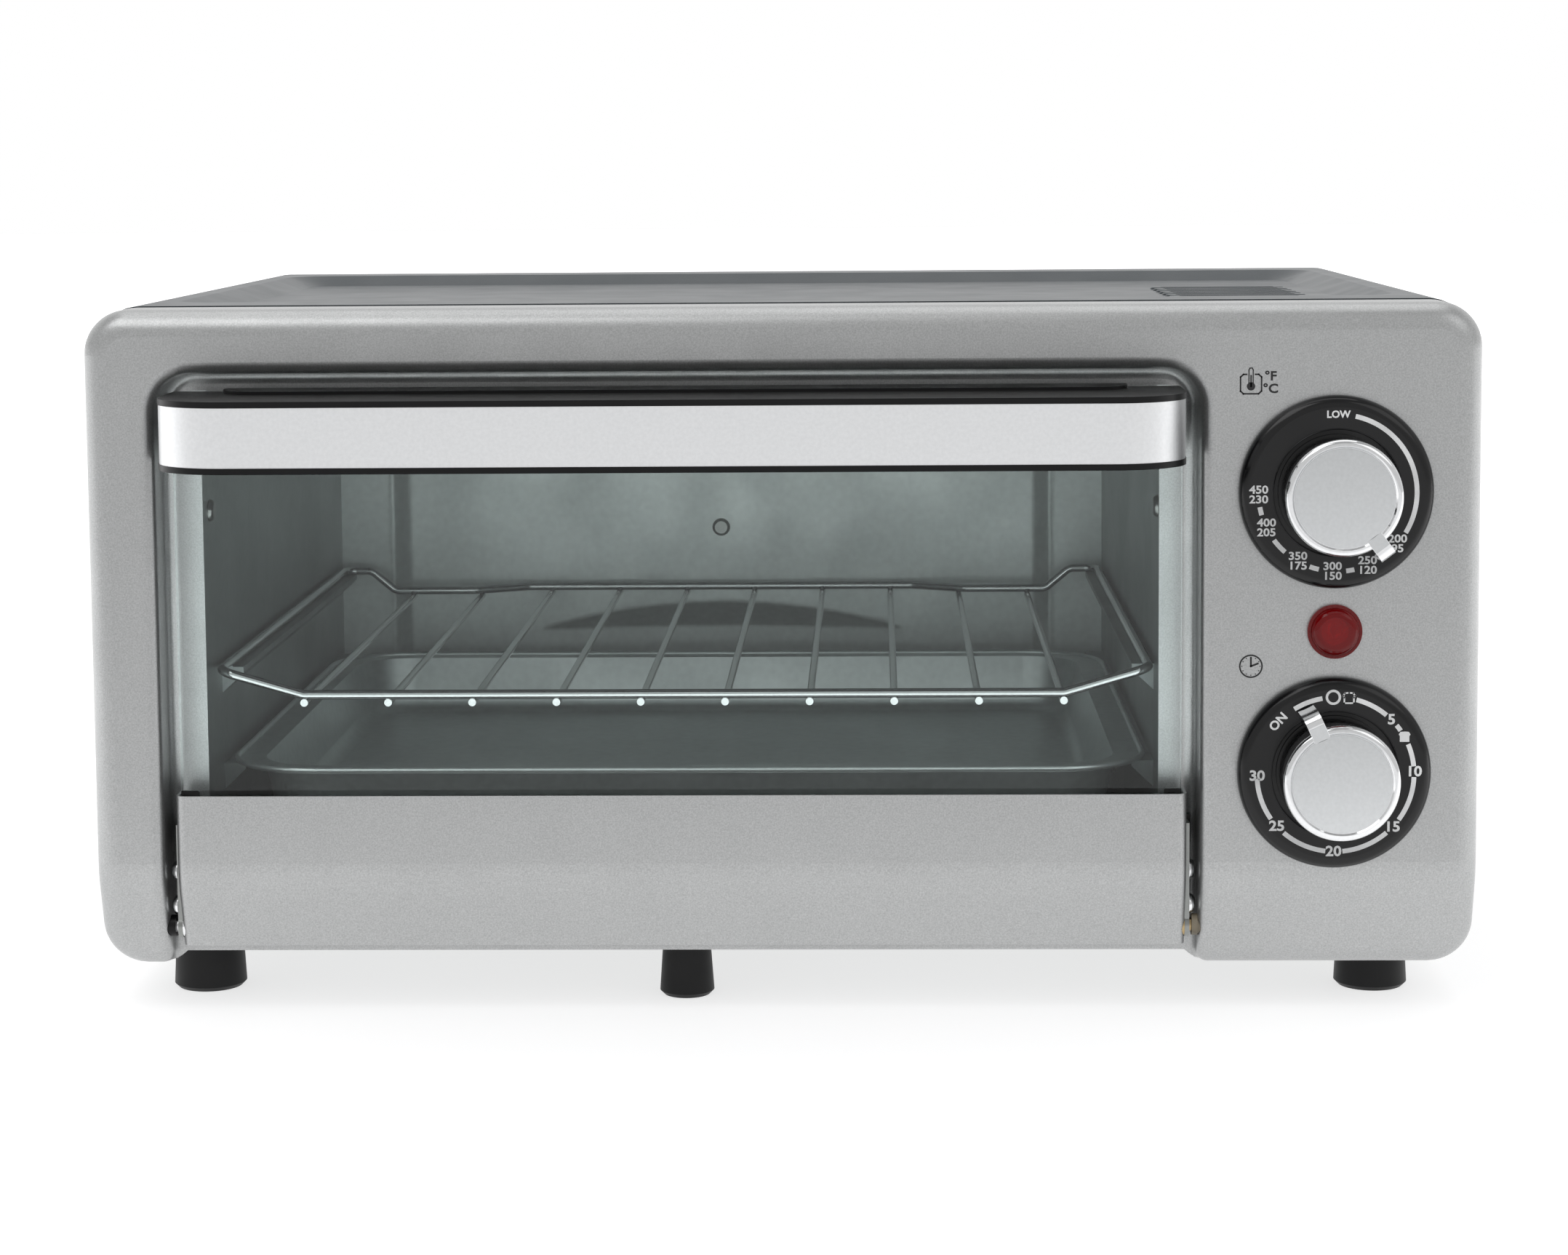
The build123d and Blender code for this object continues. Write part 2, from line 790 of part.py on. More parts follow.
with BuildPart() as cavity_ceiling:
    with BuildSketch(Plane.XY.offset(ceiling_z)):
        with Locations((pocket_mid, (liner_y + rear_inner_y) / 2)):
            Rectangle(cavity_width + 2 * case_sheet, rear_inner_y - liner_y)
    extrude(amount=case_sheet)
save(cavity_ceiling, "cavity_ceiling")


def crosswise(y, z):
    """Half plane for a piece turned about a left-to-right axis: sketch X is the radius, sketch Y is X."""
    return Plane(origin=(0, y, z), x_dir=(0, 0, 1), z_dir=(0, 1, 0))


def turn_crosswise(y, z, outline, rounds=()):
    """A ring or rod turned about the left-to-right line through y, z, from (radius, x) points."""
    with BuildSketch(crosswise(y, z)) as half:
        with BuildLine():
            Polyline(*outline, close=True)
        make_face()
        round_corners(half, rounds)
    revolve(half.sketch, axis=Axis((0, y, z), (1, 0, 0)))


def turn_rivet(y, z, head_x, outward, grip, head, dome, tail):
    """Rivet with its head's underside at head_x, which clamps a sheet of thickness grip behind it."""
    crown_x = head_x + outward * dome
    tail_x = head_x - outward * grip
    end_x = tail_x - outward * rivet_upset
    turn_crosswise(
        y,
        z,
        (
            (0, crown_x),
            (head, crown_x),
            (head, head_x),
            (rivet_shank, head_x),
            (rivet_shank, tail_x),
            (tail, tail_x),
            (tail, end_x),
            (0, end_x),
        ),
        [((head, crown_x), dome - rivet_edge)],
    )


with BuildPart() as wall_rivets:
    turn_rivet(*wall_rivet_place, cavity_left, 1, case_sheet, rivet_head, rivet_dome, rivet_tail)
    turn_rivet(*wall_rivet_place, cavity_right, -1, case_sheet, rivet_head, rivet_dome, rivet_tail)
save(wall_rivets, "wall_rivets")

emboss_in = body_depth - case_sheet + emboss_depth
emboss_out = body_depth + emboss_depth
rear_spacer = turned(
    pocket_mid,
    front_y,
    spacer_z,
    (
        (0, emboss_in - rivet_dome),
        (spacer_crown, emboss_in - rivet_dome),
        (spacer_radius, emboss_in),
        (rivet_shank, emboss_in),
        (rivet_shank, emboss_out),
        (spacer_radius, emboss_out),
        (spacer_radius, emboss_out + rivet_dome),
        (0, emboss_out + rivet_dome),
    ),
)
save(rear_spacer, "rear_spacer")

cover_screw_outline = (
    (0, -cover_screw_length),
    (control_screw_shank, cover_screw_tip - cover_screw_length),
    (control_screw_shank, 0),
    (rivet_head, 0),
    (rivet_head, cover_screw_cap),
    (0, cover_screw_cap),
)
with BuildPart() as cover_screws:
    for screw_x, screw_z in rear_screws:
        screw_head = [((rivet_head, cover_screw_cap), cover_screw_round)]
        add(turned(screw_x, rear_y, screw_z, cover_screw_outline, screw_head).part)
save(cover_screws, "cover_screws")


# Heating elements: four sheathed rods across the cavity, in ceramic insulators at both walls.
rod_left = cavity_left - element_overhang
rod_right = cavity_right + element_overhang
for element_name, (element_y, element_z) in element_places.items():
    with BuildPart() as element:
        turn_crosswise(
            element_y,
            element_z,
            (
                (0, rod_left - element_pin_length),
                (element_pin_radius, rod_left - element_pin_length),
                (element_pin_radius, rod_left),
                (element_radius, rod_left),
                (element_radius, rod_right),
                (element_pin_radius, rod_right),
                (element_pin_radius, rod_right + element_pin_length),
                (0, rod_right + element_pin_length),
            ),
        )
    save(element, element_name)

with BuildPart() as element_insulators:
    for element_y, element_z in element_places.values():
        for inner_x, inward in ((cavity_left, 1), (cavity_right, -1)):
            outer_x = inner_x - inward * case_sheet
            tip_x = inner_x + inward * case_sheet
            flange_x = outer_x - inward * insulator_length
            bore = element_radius + hole_gap
            turn_crosswise(
                element_y,
                element_z,
                (
                    (bore, flange_x),
                    (insulator_flange, flange_x),
                    (insulator_flange, outer_x),
                    (insulator_neck, outer_x),
                    (insulator_neck, tip_x),
                    (bore, tip_x),
                ),
            )
save(element_insulators, "element_insulators")


# Feet: four round corner feet and a smaller one under the middle of the door, each on its own screw.
def make_foot(place, radius, top_radius, top):
    foot_x, foot_y = place
    with BuildPart() as foot:
        with BuildSketch(Plane(origin=(foot_x, foot_y, 0), x_dir=(1, 0, 0), z_dir=(0, -1, 0))):
            with BuildLine():
                Polyline(
                    (foot_screw_shank + hole_gap, foot_recess_depth),
                    (foot_recess_radius, foot_recess_depth),
                    (foot_recess_radius, 0),
                    (radius - foot_edge, 0),
                    (radius, foot_edge),
                    (top_radius, top),
                    (foot_screw_shank + hole_gap, top),
                    close=True,
                )
            make_face()
        revolve(axis=Axis((foot_x, foot_y, 0), (0, 0, 1)))
    return foot


for foot_name, foot_place in foot_places.items():
    save(make_foot(foot_place, foot_radius, foot_top_radius, plate_z), foot_name)
center_foot = make_foot(center_foot_place, center_foot_radius, center_foot_top, base_z + rail_lift)
save(center_foot, "front_center_foot")

with BuildPart() as foot_screws:
    with Locations(*foot_places.values(), center_foot_place):
        with Locations((0, 0, foot_recess_depth - foot_screw_cap)):
            Cylinder(foot_screw_head, foot_screw_cap, align=(Align.CENTER, Align.CENTER, Align.MIN))
        with Locations((0, 0, foot_recess_depth)):
            Cylinder(
                foot_screw_shank,
                floor_z + case_sheet - foot_recess_depth,
                align=(Align.CENTER, Align.CENTER, Align.MIN),
            )
save(foot_screws, "foot_screws")


# Door: a bent lower panel with side flanges, a glass pane, a retaining strip behind the glass and the handle.
def door_form(inset, reach):
    slope = bend_setback / bend_height
    lean = sqrt(1 + slope**2)
    low = base_z + door_low + inset
    high = base_z + door_panel_height + reach
    face_y = front_y + inset
    bend_z = base_z + bend_height + inset * (lean - 1) / slope
    heel_y = face_y + (bend_z - low) * slope
    back_y = front_y + door_flange + reach
    with BuildPart() as form:
        with BuildSketch(across(door_left + inset)) as side:
            with BuildLine():
                Polyline(
                    (face_y, high),
                    (face_y, bend_z),
                    (heel_y, low),
                    (back_y, low),
                    (back_y, high),
                    close=True,
                )
            make_face()
            fillet(side.vertices().sort_by_distance((face_y, bend_z))[0], bend_radius - inset)
        extrude(amount=door_width - 2 * inset)
        upright = form.edges().filter_by(
            lambda e: abs(e.tangent_at(0.5).Z) > 0.8 and e.center().Y < back_y - 1
        )
        fillet(upright, door_side_bend - inset)
    return form.part


rivet_places = [(front_y + door_rivet_setback, base_z + h) for h in (door_rivet_low, door_rivet_high)]
with BuildPart() as door_panel:
    add(door_form(0, 0))
    add(door_form(door_sheet, overcut), mode=Mode.SUBTRACT)
    for flange_x in (door_left, door_right - door_sheet):
        with BuildSketch(across(flange_x - overcut)):
            with Locations(*rivet_places):
                Circle(rivet_shank + hole_gap)
            with Locations((hinge_y, hinge_z)):
                Circle(pin_head + hole_gap)
        extrude(amount=door_sheet + 2 * overcut, mode=Mode.SUBTRACT)
save(door_panel, "door_panel")

glass_width = door_width - 2 * door_sheet - 2 * glass_side_gap
glass_high_z = base_z + handle_high - glass_top_gap
handle_screw_z = base_z + (handle_low + handle_high) / 2
handle_screw_xs = [pocket_mid + x * handle_screw_span / 2 for x in (-1, 1)]
handle_screw_places = [(x, handle_screw_z) for x in handle_screw_xs]
with BuildPart() as door_glass:
    with BuildSketch(facing(glass_back_y)):
        with Locations((pocket_mid, (glass_high_z + base_z + glass_low) / 2)):
            RectangleRounded(glass_width, glass_high_z - base_z - glass_low, glass_corner)
        with Locations(*handle_screw_places):
            Circle(handle_screw_radius + slip_gap, mode=Mode.SUBTRACT)
    extrude(amount=glass_thickness)
save(door_glass, "door_glass")

inner_width = door_width - 2 * door_sheet
with BuildPart() as door_inner_panel:
    with BuildSketch(facing(glass_back_y + door_sheet)) as retainer:
        inner_low = base_z + inner_panel_low
        inner_high = base_z + door_panel_height - door_sheet
        with Locations((pocket_mid, (inner_low + inner_high) / 2)):
            Rectangle(inner_width, inner_high - inner_low)
        tab_high = base_z + door_panel_height + inner_tab_rise
        tab_spread = (inner_width - inner_tab_width) / 2
        with Locations(*((pocket_mid + side * tab_spread, (inner_high + tab_high) / 2) for side in (-1, 1))):
            Rectangle(inner_tab_width, tab_high - inner_high)
        fillet(retainer.vertices().group_by(Axis.Y)[-1], inner_tab_corner)
    extrude(amount=door_sheet)
save(door_inner_panel, "door_inner_panel")


# Handle: black inverted channel with rounded ends and a stepped top, and a metal strip let into its front.
handle_front_y = front_y - handle_reach
handle_width = door_width - 2 * handle_side_inset
handle_low_z = base_z + handle_low
handle_high_z = base_z + handle_high


def handle_outline(inset, back_y):
    with BuildSketch(mode=Mode.PRIVATE) as outline:
        with Locations((pocket_mid, (handle_front_y + inset + back_y) / 2)):
            Rectangle(handle_width - 2 * inset, back_y - handle_front_y - inset)
        fillet(outline.vertices().group_by(Axis.Y)[0], handle_corner - inset)
    return outline.sketch


def strip_band(outer_inset, inner_inset):
    with BuildSketch(mode=Mode.PRIVATE) as band:
        add(handle_outline(outer_inset, glass_y - strip_return))
        add(handle_outline(inner_inset, glass_y), mode=Mode.SUBTRACT)
    return band.sketch


strip_z = handle_low_z + strip_low
with BuildPart() as handle_body:
    with BuildSketch(Plane.XY.offset(handle_low_z)):
        add(handle_outline(0, glass_y))
    extrude(amount=handle_high - handle_low)
    with BuildSketch(Plane.XY.offset(handle_low_z)):
        add(handle_outline(handle_wall, glass_y - handle_wall))
    extrude(amount=handle_high - handle_low - handle_wall, mode=Mode.SUBTRACT)
    with BuildSketch(Plane.XY.offset(handle_high_z - handle_step)) as ledge:
        add(handle_outline(0, glass_y))
        plateau_front_y = front_y - handle_plateau_front
        with BuildSketch(mode=Mode.PRIVATE) as plateau:
            with Locations((pocket_mid, (plateau_front_y + glass_y) / 2)):
                Rectangle(handle_width - 2 * handle_plateau_inset, glass_y - plateau_front_y)
            fillet(plateau.vertices().group_by(Axis.Y)[0], handle_plateau_corner)
        add(plateau.sketch, mode=Mode.SUBTRACT)
    extrude(amount=handle_step, mode=Mode.SUBTRACT)
    with BuildSketch(Plane.XY.offset(strip_z)):
        add(strip_band(0, strip_inset + strip_sheet))
    extrude(amount=strip_height, mode=Mode.SUBTRACT)
    with BuildSketch(facing(glass_y)):
        with Locations(*handle_screw_places):
            Circle(handle_boss)
    extrude(amount=handle_boss_length)
    with BuildSketch(facing(glass_y)):
        with Locations(*handle_screw_places):
            Circle(handle_screw_radius + hole_gap)
    extrude(amount=handle_boss_length - handle_wall / 2, mode=Mode.SUBTRACT)
save(handle_body, "handle_body")

with BuildPart() as handle_strip:
    with BuildSketch(Plane.XY.offset(strip_z)):
        add(strip_band(strip_inset, strip_inset + strip_sheet))
    extrude(amount=strip_height)
save(handle_strip, "handle_strip")

with BuildPart() as handle_screws:
    with BuildSketch(facing(glass_back_y + handle_screw_cap)):
        with Locations(*handle_screw_places):
            Circle(handle_screw_head)
    extrude(amount=handle_screw_cap)
    with BuildSketch(facing(glass_back_y)):
        with Locations(*handle_screw_places):
            Circle(handle_screw_radius)
    extrude(amount=glass_thickness + handle_boss_length - handle_wall)
save(handle_screws, "handle_screws")


# Door hinges: a plated leaf riveted to each door flange, with a pin in a bush and an arm that a spring pulls.
def make_leaf(leaf_x):
    with BuildPart() as leaf:
        with BuildSketch(across(leaf_x)):
            with BuildSketch(mode=Mode.PRIVATE) as ring:
                with Locations((hinge_y, hinge_z)):
                    Circle(arm_radius + arm_width / 2)
                    Circle(arm_radius - arm_width / 2, mode=Mode.SUBTRACT)
            with BuildSketch(mode=Mode.PRIVATE) as sector:
                reach = 2 * arm_radius
                end = radians(arm_end_angle)
                with BuildLine():
                    Polyline(
                        (hinge_y, hinge_z),
                        (hinge_y + reach * cos(end), hinge_z + reach * sin(end)),
                        (hinge_y + reach, hinge_z + reach),
                        (hinge_y, hinge_z + reach),
                        close=True,
                    )
                make_face()
                add(ring.sketch, mode=Mode.INTERSECT)
            add(sector.sketch)
            leaf_front_y = front_y + leaf_setback
            leaf_rear_y = hinge_y + leaf_ear / 2
            leaf_high_z = hinge_z + arm_radius + arm_width / 2
            with Locations((hinge_y, hinge_z)):
                Circle(leaf_ear)
            with Locations(((leaf_front_y + leaf_rear_y) / 2, (hinge_z + leaf_high_z) / 2)):
                Rectangle(leaf_rear_y - leaf_front_y, leaf_high_z - hinge_z)
            with Locations(*rivet_places):
                Circle(rivet_shank + hole_gap, mode=Mode.SUBTRACT)
            with Locations((hinge_y, hinge_z)):
                Circle(pin_radius + hole_gap, mode=Mode.SUBTRACT)
        extrude(amount=leaf_sheet)
    return leaf


def make_pin(flange_x, outward):
    tip_x = flange_x + outward * (door_gap + panel_sheet + bush_tail)
    with BuildPart() as pin:
        turn_crosswise(
            hinge_y,
            hinge_z,
            (
                (0, flange_x - outward * door_sheet),
                (pin_head, flange_x - outward * door_sheet),
                (pin_head, flange_x),
                (pin_radius, flange_x),
                (pin_radius, tip_x),
                (0, tip_x),
            ),
        )
    return pin


def make_bush(wall_x, outward):
    collar_x = wall_x - outward * bush_collar
    tail_x = wall_x + outward * (panel_sheet + bush_tail)
    bore = pin_radius + running_gap
    with BuildPart() as bush:
        turn_crosswise(
            hinge_y,
            hinge_z,
            (
                (bore, collar_x),
                (bush_radius, collar_x),
                (bush_radius, wall_x),
                (bush_body, wall_x),
                (bush_body, tail_x),
                (bore, tail_x),
            ),
        )
    return bush


def make_spring(spring_x):
    def coil_point(quarter):
        turn = quarter * pi / 2
        return (
            spring_x + spring_coil * cos(turn),
            spring_front_y + spring_pitch * quarter / 4,
            spring_z + spring_coil * sin(turn),
        )

    with BuildPart() as spring:
        with BuildLine() as coil:
            for quarter in range(4 * spring_turns):
                ThreePointArc(coil_point(quarter), coil_point(quarter + 0.5), coil_point(quarter + 1))
        with BuildSketch(Plane(origin=coil.line @ 0, z_dir=coil.line % 0)):
            Circle(spring_wire)
        sweep()
    return spring


hinge_sides = {"left": (door_left, pocket_left, -1), "right": (door_right, pocket_right, 1)}
for (side_name, side_place), leaf_x, spring_x in zip(hinge_sides.items(), leaf_xs, spring_xs):
    flange_x, wall_x, outward = side_place
    save(make_leaf(leaf_x), f"{side_name}_hinge_leaf")
    save(make_pin(flange_x, outward), f"{side_name}_hinge_pin")
    save(make_bush(wall_x, outward), f"{side_name}_hinge_bush")
    save(make_spring(spring_x), f"{side_name}_door_spring")
print("gap between spring turns", spring_pitch - 2 * spring_wire)

with BuildPart() as door_rivets:
    for rivet_y, rivet_z in rivet_places:
        for flange_x, outward in ((door_left, -1), (door_right, 1)):
            turn_rivet(
                rivet_y,
                rivet_z,
                flange_x + outward * leaf_sheet,
                outward,
                leaf_sheet + door_sheet,
                door_rivet_head,
                door_rivet_dome,
                door_rivet_tail,
            )
save(door_rivets, "door_rivets")


# Controls: two printed dial rings, turning knobs on flatted shafts, the thermostat, the timer and its bell.
def make_dial(z):
    return turned(
        dial_x,
        front_y,
        z,
        (
            (dial_bore, 0),
            (dial_bore, -dial_floor),
            (dial_well, -dial_floor),
            (dial_well, -dial_rise),
            (dial_radius, -dial_rise),
            (dial_radius, 0),
            (dial_hollow_outer, 0),
            (dial_hollow_outer, -dial_hollow_depth),
            (dial_hollow_inner, -dial_hollow_depth),
            (dial_hollow_inner, 0),
        ),
        [((dial_well, -dial_rise), dial_mouth_round), ((dial_radius, -dial_rise), dial_round)],
    )


def flatted(radius, flat):
    """Round shaft section with one flat, drawn about the middle."""
    with BuildSketch(mode=Mode.PRIVATE) as section:
        Circle(radius)
        with Locations((0, 2 * radius - flat)):
            Rectangle(2 * radius, 2 * radius, mode=Mode.SUBTRACT)
    return section.sketch


def make_knob(z, pointer):
    """Dished knob with a rounded rim, cut through by a pointer that lies flush with its face."""
    rear = -dial_floor - knob_rear_gap
    face = knob_dish - knob_front
    angle = radians(pointer)
    pointer_root = knob_lip - 2 * knob_dish
    pointer_rear = -dial_rise - pointer_ring_gap
    pointer_plane = Plane(
        origin=(dial_x, front_y, z),
        x_dir=(sin(angle), 0, cos(angle)),
        z_dir=(-cos(angle), 0, sin(angle)),
    )
    disc = turned(
        dial_x,
        front_y,
        z,
        (
            (0, rear),
            (knob_radius, rear),
            (knob_radius, -knob_front),
            (knob_lip, -knob_front),
            (knob_lip - knob_dish, face),
            (0, face),
        ),
        [((knob_radius, -knob_front), knob_round)],
    )
    with BuildPart() as knob:
        add(disc.part)
        with BuildSketch(pointer_plane):
            with Locations(((pointer_root + pointer_reach) / 2, face - overcut / 2)):
                Rectangle(pointer_reach - pointer_root, overcut)
        extrude(amount=pointer_width / 2, both=True, mode=Mode.SUBTRACT)
        with BuildSketch(pointer_plane) as tab:
            with Locations(((pointer_root + pointer_reach) / 2, (face + pointer_rear) / 2)):
                Rectangle(pointer_reach - pointer_root, pointer_rear - face)
            round_corners(tab, [((pointer_reach, face), pointer_round)])
        extrude(amount=pointer_width / 2, both=True)
        with BuildSketch(Plane(origin=(dial_x, front_y + rear, z), x_dir=(1, 0, 0), z_dir=(0, -1, 0))):
            add(flatted(shaft_radius + hole_gap, shaft_flat))
        extrude(amount=shaft_end + rear + hole_gap, mode=Mode.SUBTRACT)
    return knob


def make_shaft(z):
    with BuildPart() as shaft:
        with BuildSketch(Plane(origin=(dial_x, front_y - dial_floor, z), x_dir=(1, 0, 0), z_dir=(0, -1, 0))):
            add(flatted(shaft_radius, shaft_flat + hole_gap))
        extrude(amount=shaft_end - dial_floor)
        with BuildSketch(facing(front_y - dial_floor)):
            with Locations((dial_x, z)):
                Circle(shaft_radius)
        extrude(amount=-shaft_end)
    return shaft


def make_control(z, width, tall, deep):
    """Thermostat or timer: mounting plate, neck for the shaft and a closed case behind it."""
    plate_y = front_y + panel_sheet
    case_y = plate_y + control_plate + control_neck_length
    with BuildPart() as control:
        with BuildSketch(facing(plate_y)):
            with Locations((dial_x, z)):
                Rectangle(control_plate_width, control_plate_height)
                with PolarLocations(control_screw_ring, 2):
                    Circle(control_screw_shank + hole_gap, mode=Mode.SUBTRACT)
        extrude(amount=-control_plate)
        with BuildSketch(facing(front_y - dial_floor)):
            with Locations((dial_x, z)):
                Circle(neck_radius)
        extrude(amount=-dial_floor - panel_sheet - control_plate - control_neck_length)
        with BuildSketch(facing(case_y)):
            with Locations((dial_x, z)):
                RectangleRounded(width, tall, control_edge)
        extrude(amount=-deep)
        with BuildSketch(facing(front_y - dial_floor)):
            with Locations((dial_x, z)):
                Circle(shaft_radius + running_gap)
        extrude(amount=-shaft_end - slip_gap, mode=Mode.SUBTRACT)
    return control


save(make_dial(thermostat_z), "thermostat_dial")
save(make_dial(timer_z), "timer_dial")
save(make_knob(thermostat_z, thermostat_pointer), "thermostat_knob")
save(make_knob(timer_z, timer_pointer), "timer_knob")
save(make_shaft(thermostat_z), "thermostat_shaft")
save(make_shaft(timer_z), "timer_shaft")
save(make_control(thermostat_z, thermostat_width, thermostat_tall, thermostat_deep), "thermostat_body")

timer_rear = panel_sheet + control_plate + control_neck_length + timer_deep
with BuildPart() as timer_body:
    add(make_control(timer_z, timer_width, timer_tall, timer_deep).part)
    with BuildSketch(facing(front_y + timer_rear)):
        with Locations((dial_x, timer_z)):
            Circle(bell_post)
    extrude(amount=-bell_stand - bell_depth + bell_sheet)
save(timer_body, "timer_body")

bell_rim = timer_rear + bell_stand
bell_crown = bell_rim + bell_depth
bell_inner = bell_radius - bell_sheet
timer_bell = turned(
    dial_x,
    front_y,
    timer_z,
    (
        (0, bell_crown),
        (bell_radius, bell_crown),
        (bell_radius, bell_rim),
        (bell_inner, bell_rim),
        (bell_inner, bell_crown - bell_sheet),
        (0, bell_crown - bell_sheet),
    ),
    [
        ((bell_radius, bell_crown), bell_round),
        ((bell_inner, bell_crown - bell_sheet), bell_round - bell_sheet),
    ],
)
save(timer_bell, "timer_bell")

with BuildPart() as control_screws:
    with BuildSketch(facing(front_y)):
        with Locations((dial_x, thermostat_z), (dial_x, timer_z)):
            with PolarLocations(control_screw_ring, 2):
                Circle(control_screw_head)
    extrude(amount=control_screw_cap)
    with BuildSketch(facing(front_y)):
        with Locations((dial_x, thermostat_z), (dial_x, timer_z)):
            with PolarLocations(control_screw_ring, 2):
                Circle(control_screw_shank)
    extrude(amount=-control_screw_length)
save(control_screws, "control_screws")

pilot_lens = turned(
    dial_x,
    front_y,
    pilot_z,
    (
        (0, -pilot_dome),
        (pilot_radius, -pilot_dome),
        (pilot_radius, -pilot_rim_rise),
        (pilot_rim, -pilot_rim_rise),
        (pilot_rim, 0),
        (pilot_barrel, 0),
        (pilot_barrel, pilot_barrel_length),
        (lamp_radius + lamp_gap, pilot_barrel_length),
        (lamp_radius + lamp_gap, 0),
        (0, 0),
    ),
    [((pilot_radius, -pilot_dome), pilot_round)],
)
save(pilot_lens, "pilot_lens")

lamp_tip = pilot_barrel_length - lamp_length
pilot_lamp = turned(
    dial_x,
    front_y,
    pilot_z,
    (
        (0, lamp_tip),
        (lamp_radius, lamp_tip),
        (lamp_radius, pilot_barrel_length),
        (pilot_barrel, pilot_barrel_length),
        (pilot_barrel, pilot_barrel_length + lamp_radius),
        (0, pilot_barrel_length + lamp_radius),
    ),
    [((lamp_radius, lamp_tip), lamp_round)],
)
save(pilot_lamp, "pilot_lamp")


# Cord gland in the rear panel, and the wires inside the control space.
gland_front = body_depth - gland_length
cord_gland = turned(
    dial_x,
    front_y,
    gland_z,
    (
        (gland_bore, gland_front),
        (gland_barrel, gland_front),
        (gland_barrel, body_depth),
        (gland_flange, body_depth),
        (gland_flange - gland_taper, body_depth + gland_flange_rise),
        (gland_bore, body_depth + gland_flange_rise),
    ),
)
save(cord_gland, "cord_gland")

thermostat_rear_y = front_y + panel_sheet + control_plate + control_neck_length + thermostat_deep
timer_rear_y = front_y + timer_rear
terminal_x = rod_right + element_pin_length
lamp_rear_y = front_y + pilot_barrel_length + lamp_radius
upper_y, upper_z = element_places["upper_front_element"]
wire_routes = (
    (
        (dial_x - timer_terminal, timer_rear_y, timer_z + timer_terminal),
        (dial_x - timer_terminal, timer_rear_y + wire_lead, timer_z + timer_terminal),
        (dial_x - thermostat_terminal, thermostat_rear_y + wire_lead, thermostat_z - thermostat_terminal),
        (dial_x - thermostat_terminal, thermostat_rear_y, thermostat_z - thermostat_terminal),
    ),
    (
        (dial_x + thermostat_feed, thermostat_rear_y, thermostat_z + thermostat_feed),
        (dial_x + thermostat_feed, thermostat_rear_y + wire_lead, thermostat_z + thermostat_feed),
        (terminal_x + wire_lead, upper_y, upper_z),
        (terminal_x, upper_y, upper_z),
    ),
    (
        (dial_x + timer_terminal, timer_rear_y, timer_z - timer_terminal),
        (dial_x + timer_terminal, timer_rear_y + 2 * wire_lead, timer_z - timer_terminal),
        (dial_x, front_y + gland_front - gland_lead, gland_z),
        (dial_x, front_y + gland_front, gland_z),
    ),
    (
        (dial_x, lamp_rear_y, pilot_z),
        (dial_x, lamp_rear_y + 2 * wire_lead, pilot_z),
        (dial_x + thermostat_terminal, thermostat_rear_y + wire_lead, thermostat_z - thermostat_terminal),
        (dial_x + thermostat_terminal, thermostat_rear_y, thermostat_z - thermostat_terminal),
    ),
)
with BuildPart() as wiring:
    for route in wire_routes:
        with BuildLine() as path:
            FilletPolyline(*route, radius=wire_bend)
        with BuildSketch(Plane(origin=path.line @ 0, z_dir=path.line % 0)):
            Circle(wire_radius)
        sweep()
save(wiring, "wiring")


# Wire rack: a bent frame wire with raised sides and a rear bulge, and straight wires welded under it.
rack_left = cavity_left + rack_side_gap + rack_wire
rack_right = cavity_right - rack_side_gap - rack_wire
rack_front_y = front_y + rack_front_setback
rack_rear_y = rear_inner_y - rack_rear_gap
bulge_half = rack_bulge_span / 2
rack_corners = (
    (pocket_mid, rack_front_y, rack_z),
    (rack_right - rack_front_shoulder, rack_front_y, rack_z),
    (rack_right, rack_front_y, rack_side_z),
    (rack_right, rack_rear_y, rack_side_z),
    (rack_right - rack_rear_flat, rack_rear_y, rack_side_z),
    (rack_right - rack_rear_shoulder, rack_rear_y, rack_z),
    (pocket_mid + bulge_half + rack_bulge_ramp, rack_rear_y, rack_z),
    (pocket_mid + bulge_half, rack_rear_y + rack_bulge, rack_z),
    (pocket_mid - bulge_half, rack_rear_y + rack_bulge, rack_z),
    (pocket_mid - bulge_half - rack_bulge_ramp, rack_rear_y, rack_z),
    (rack_left + rack_rear_shoulder, rack_rear_y, rack_z),
    (rack_left + rack_rear_flat, rack_rear_y, rack_side_z),
    (rack_left, rack_rear_y, rack_side_z),
    (rack_left, rack_front_y, rack_side_z),
    (rack_left + rack_front_shoulder, rack_front_y, rack_z),
    (pocket_mid - rack_bend, rack_front_y, rack_z),
)
cross_z = rack_z - rack_wire - cross_wire + rack_weld
with BuildPart() as wire_rack:
    with BuildLine() as loop:
        FilletPolyline(*rack_corners, radius=rack_bend)
        Line(rack_corners[-1], rack_corners[0])
    with BuildSketch(Plane(origin=rack_corners[0], z_dir=(1, 0, 0))):
        Circle(rack_wire)
    sweep(path=loop.wires()[0])
    for index in range(cross_count):
        offset_x = (index / (cross_count - 1) - 0.5) * (cavity_width - 2 * cross_margin)
        ramp_share = (bulge_half + rack_bulge_ramp - abs(offset_x)) / rack_bulge_ramp
        overrun = rack_bulge * min(1, max(0, ramp_share))
        with BuildSketch(facing(rack_rear_y + overrun + cross_wire)):
            with Locations((pocket_mid + offset_x, cross_z)):
                Circle(cross_wire)
        extrude(amount=rack_rear_y + overrun - rack_front_y + 2 * cross_wire)
save(wire_rack, "wire_rack")


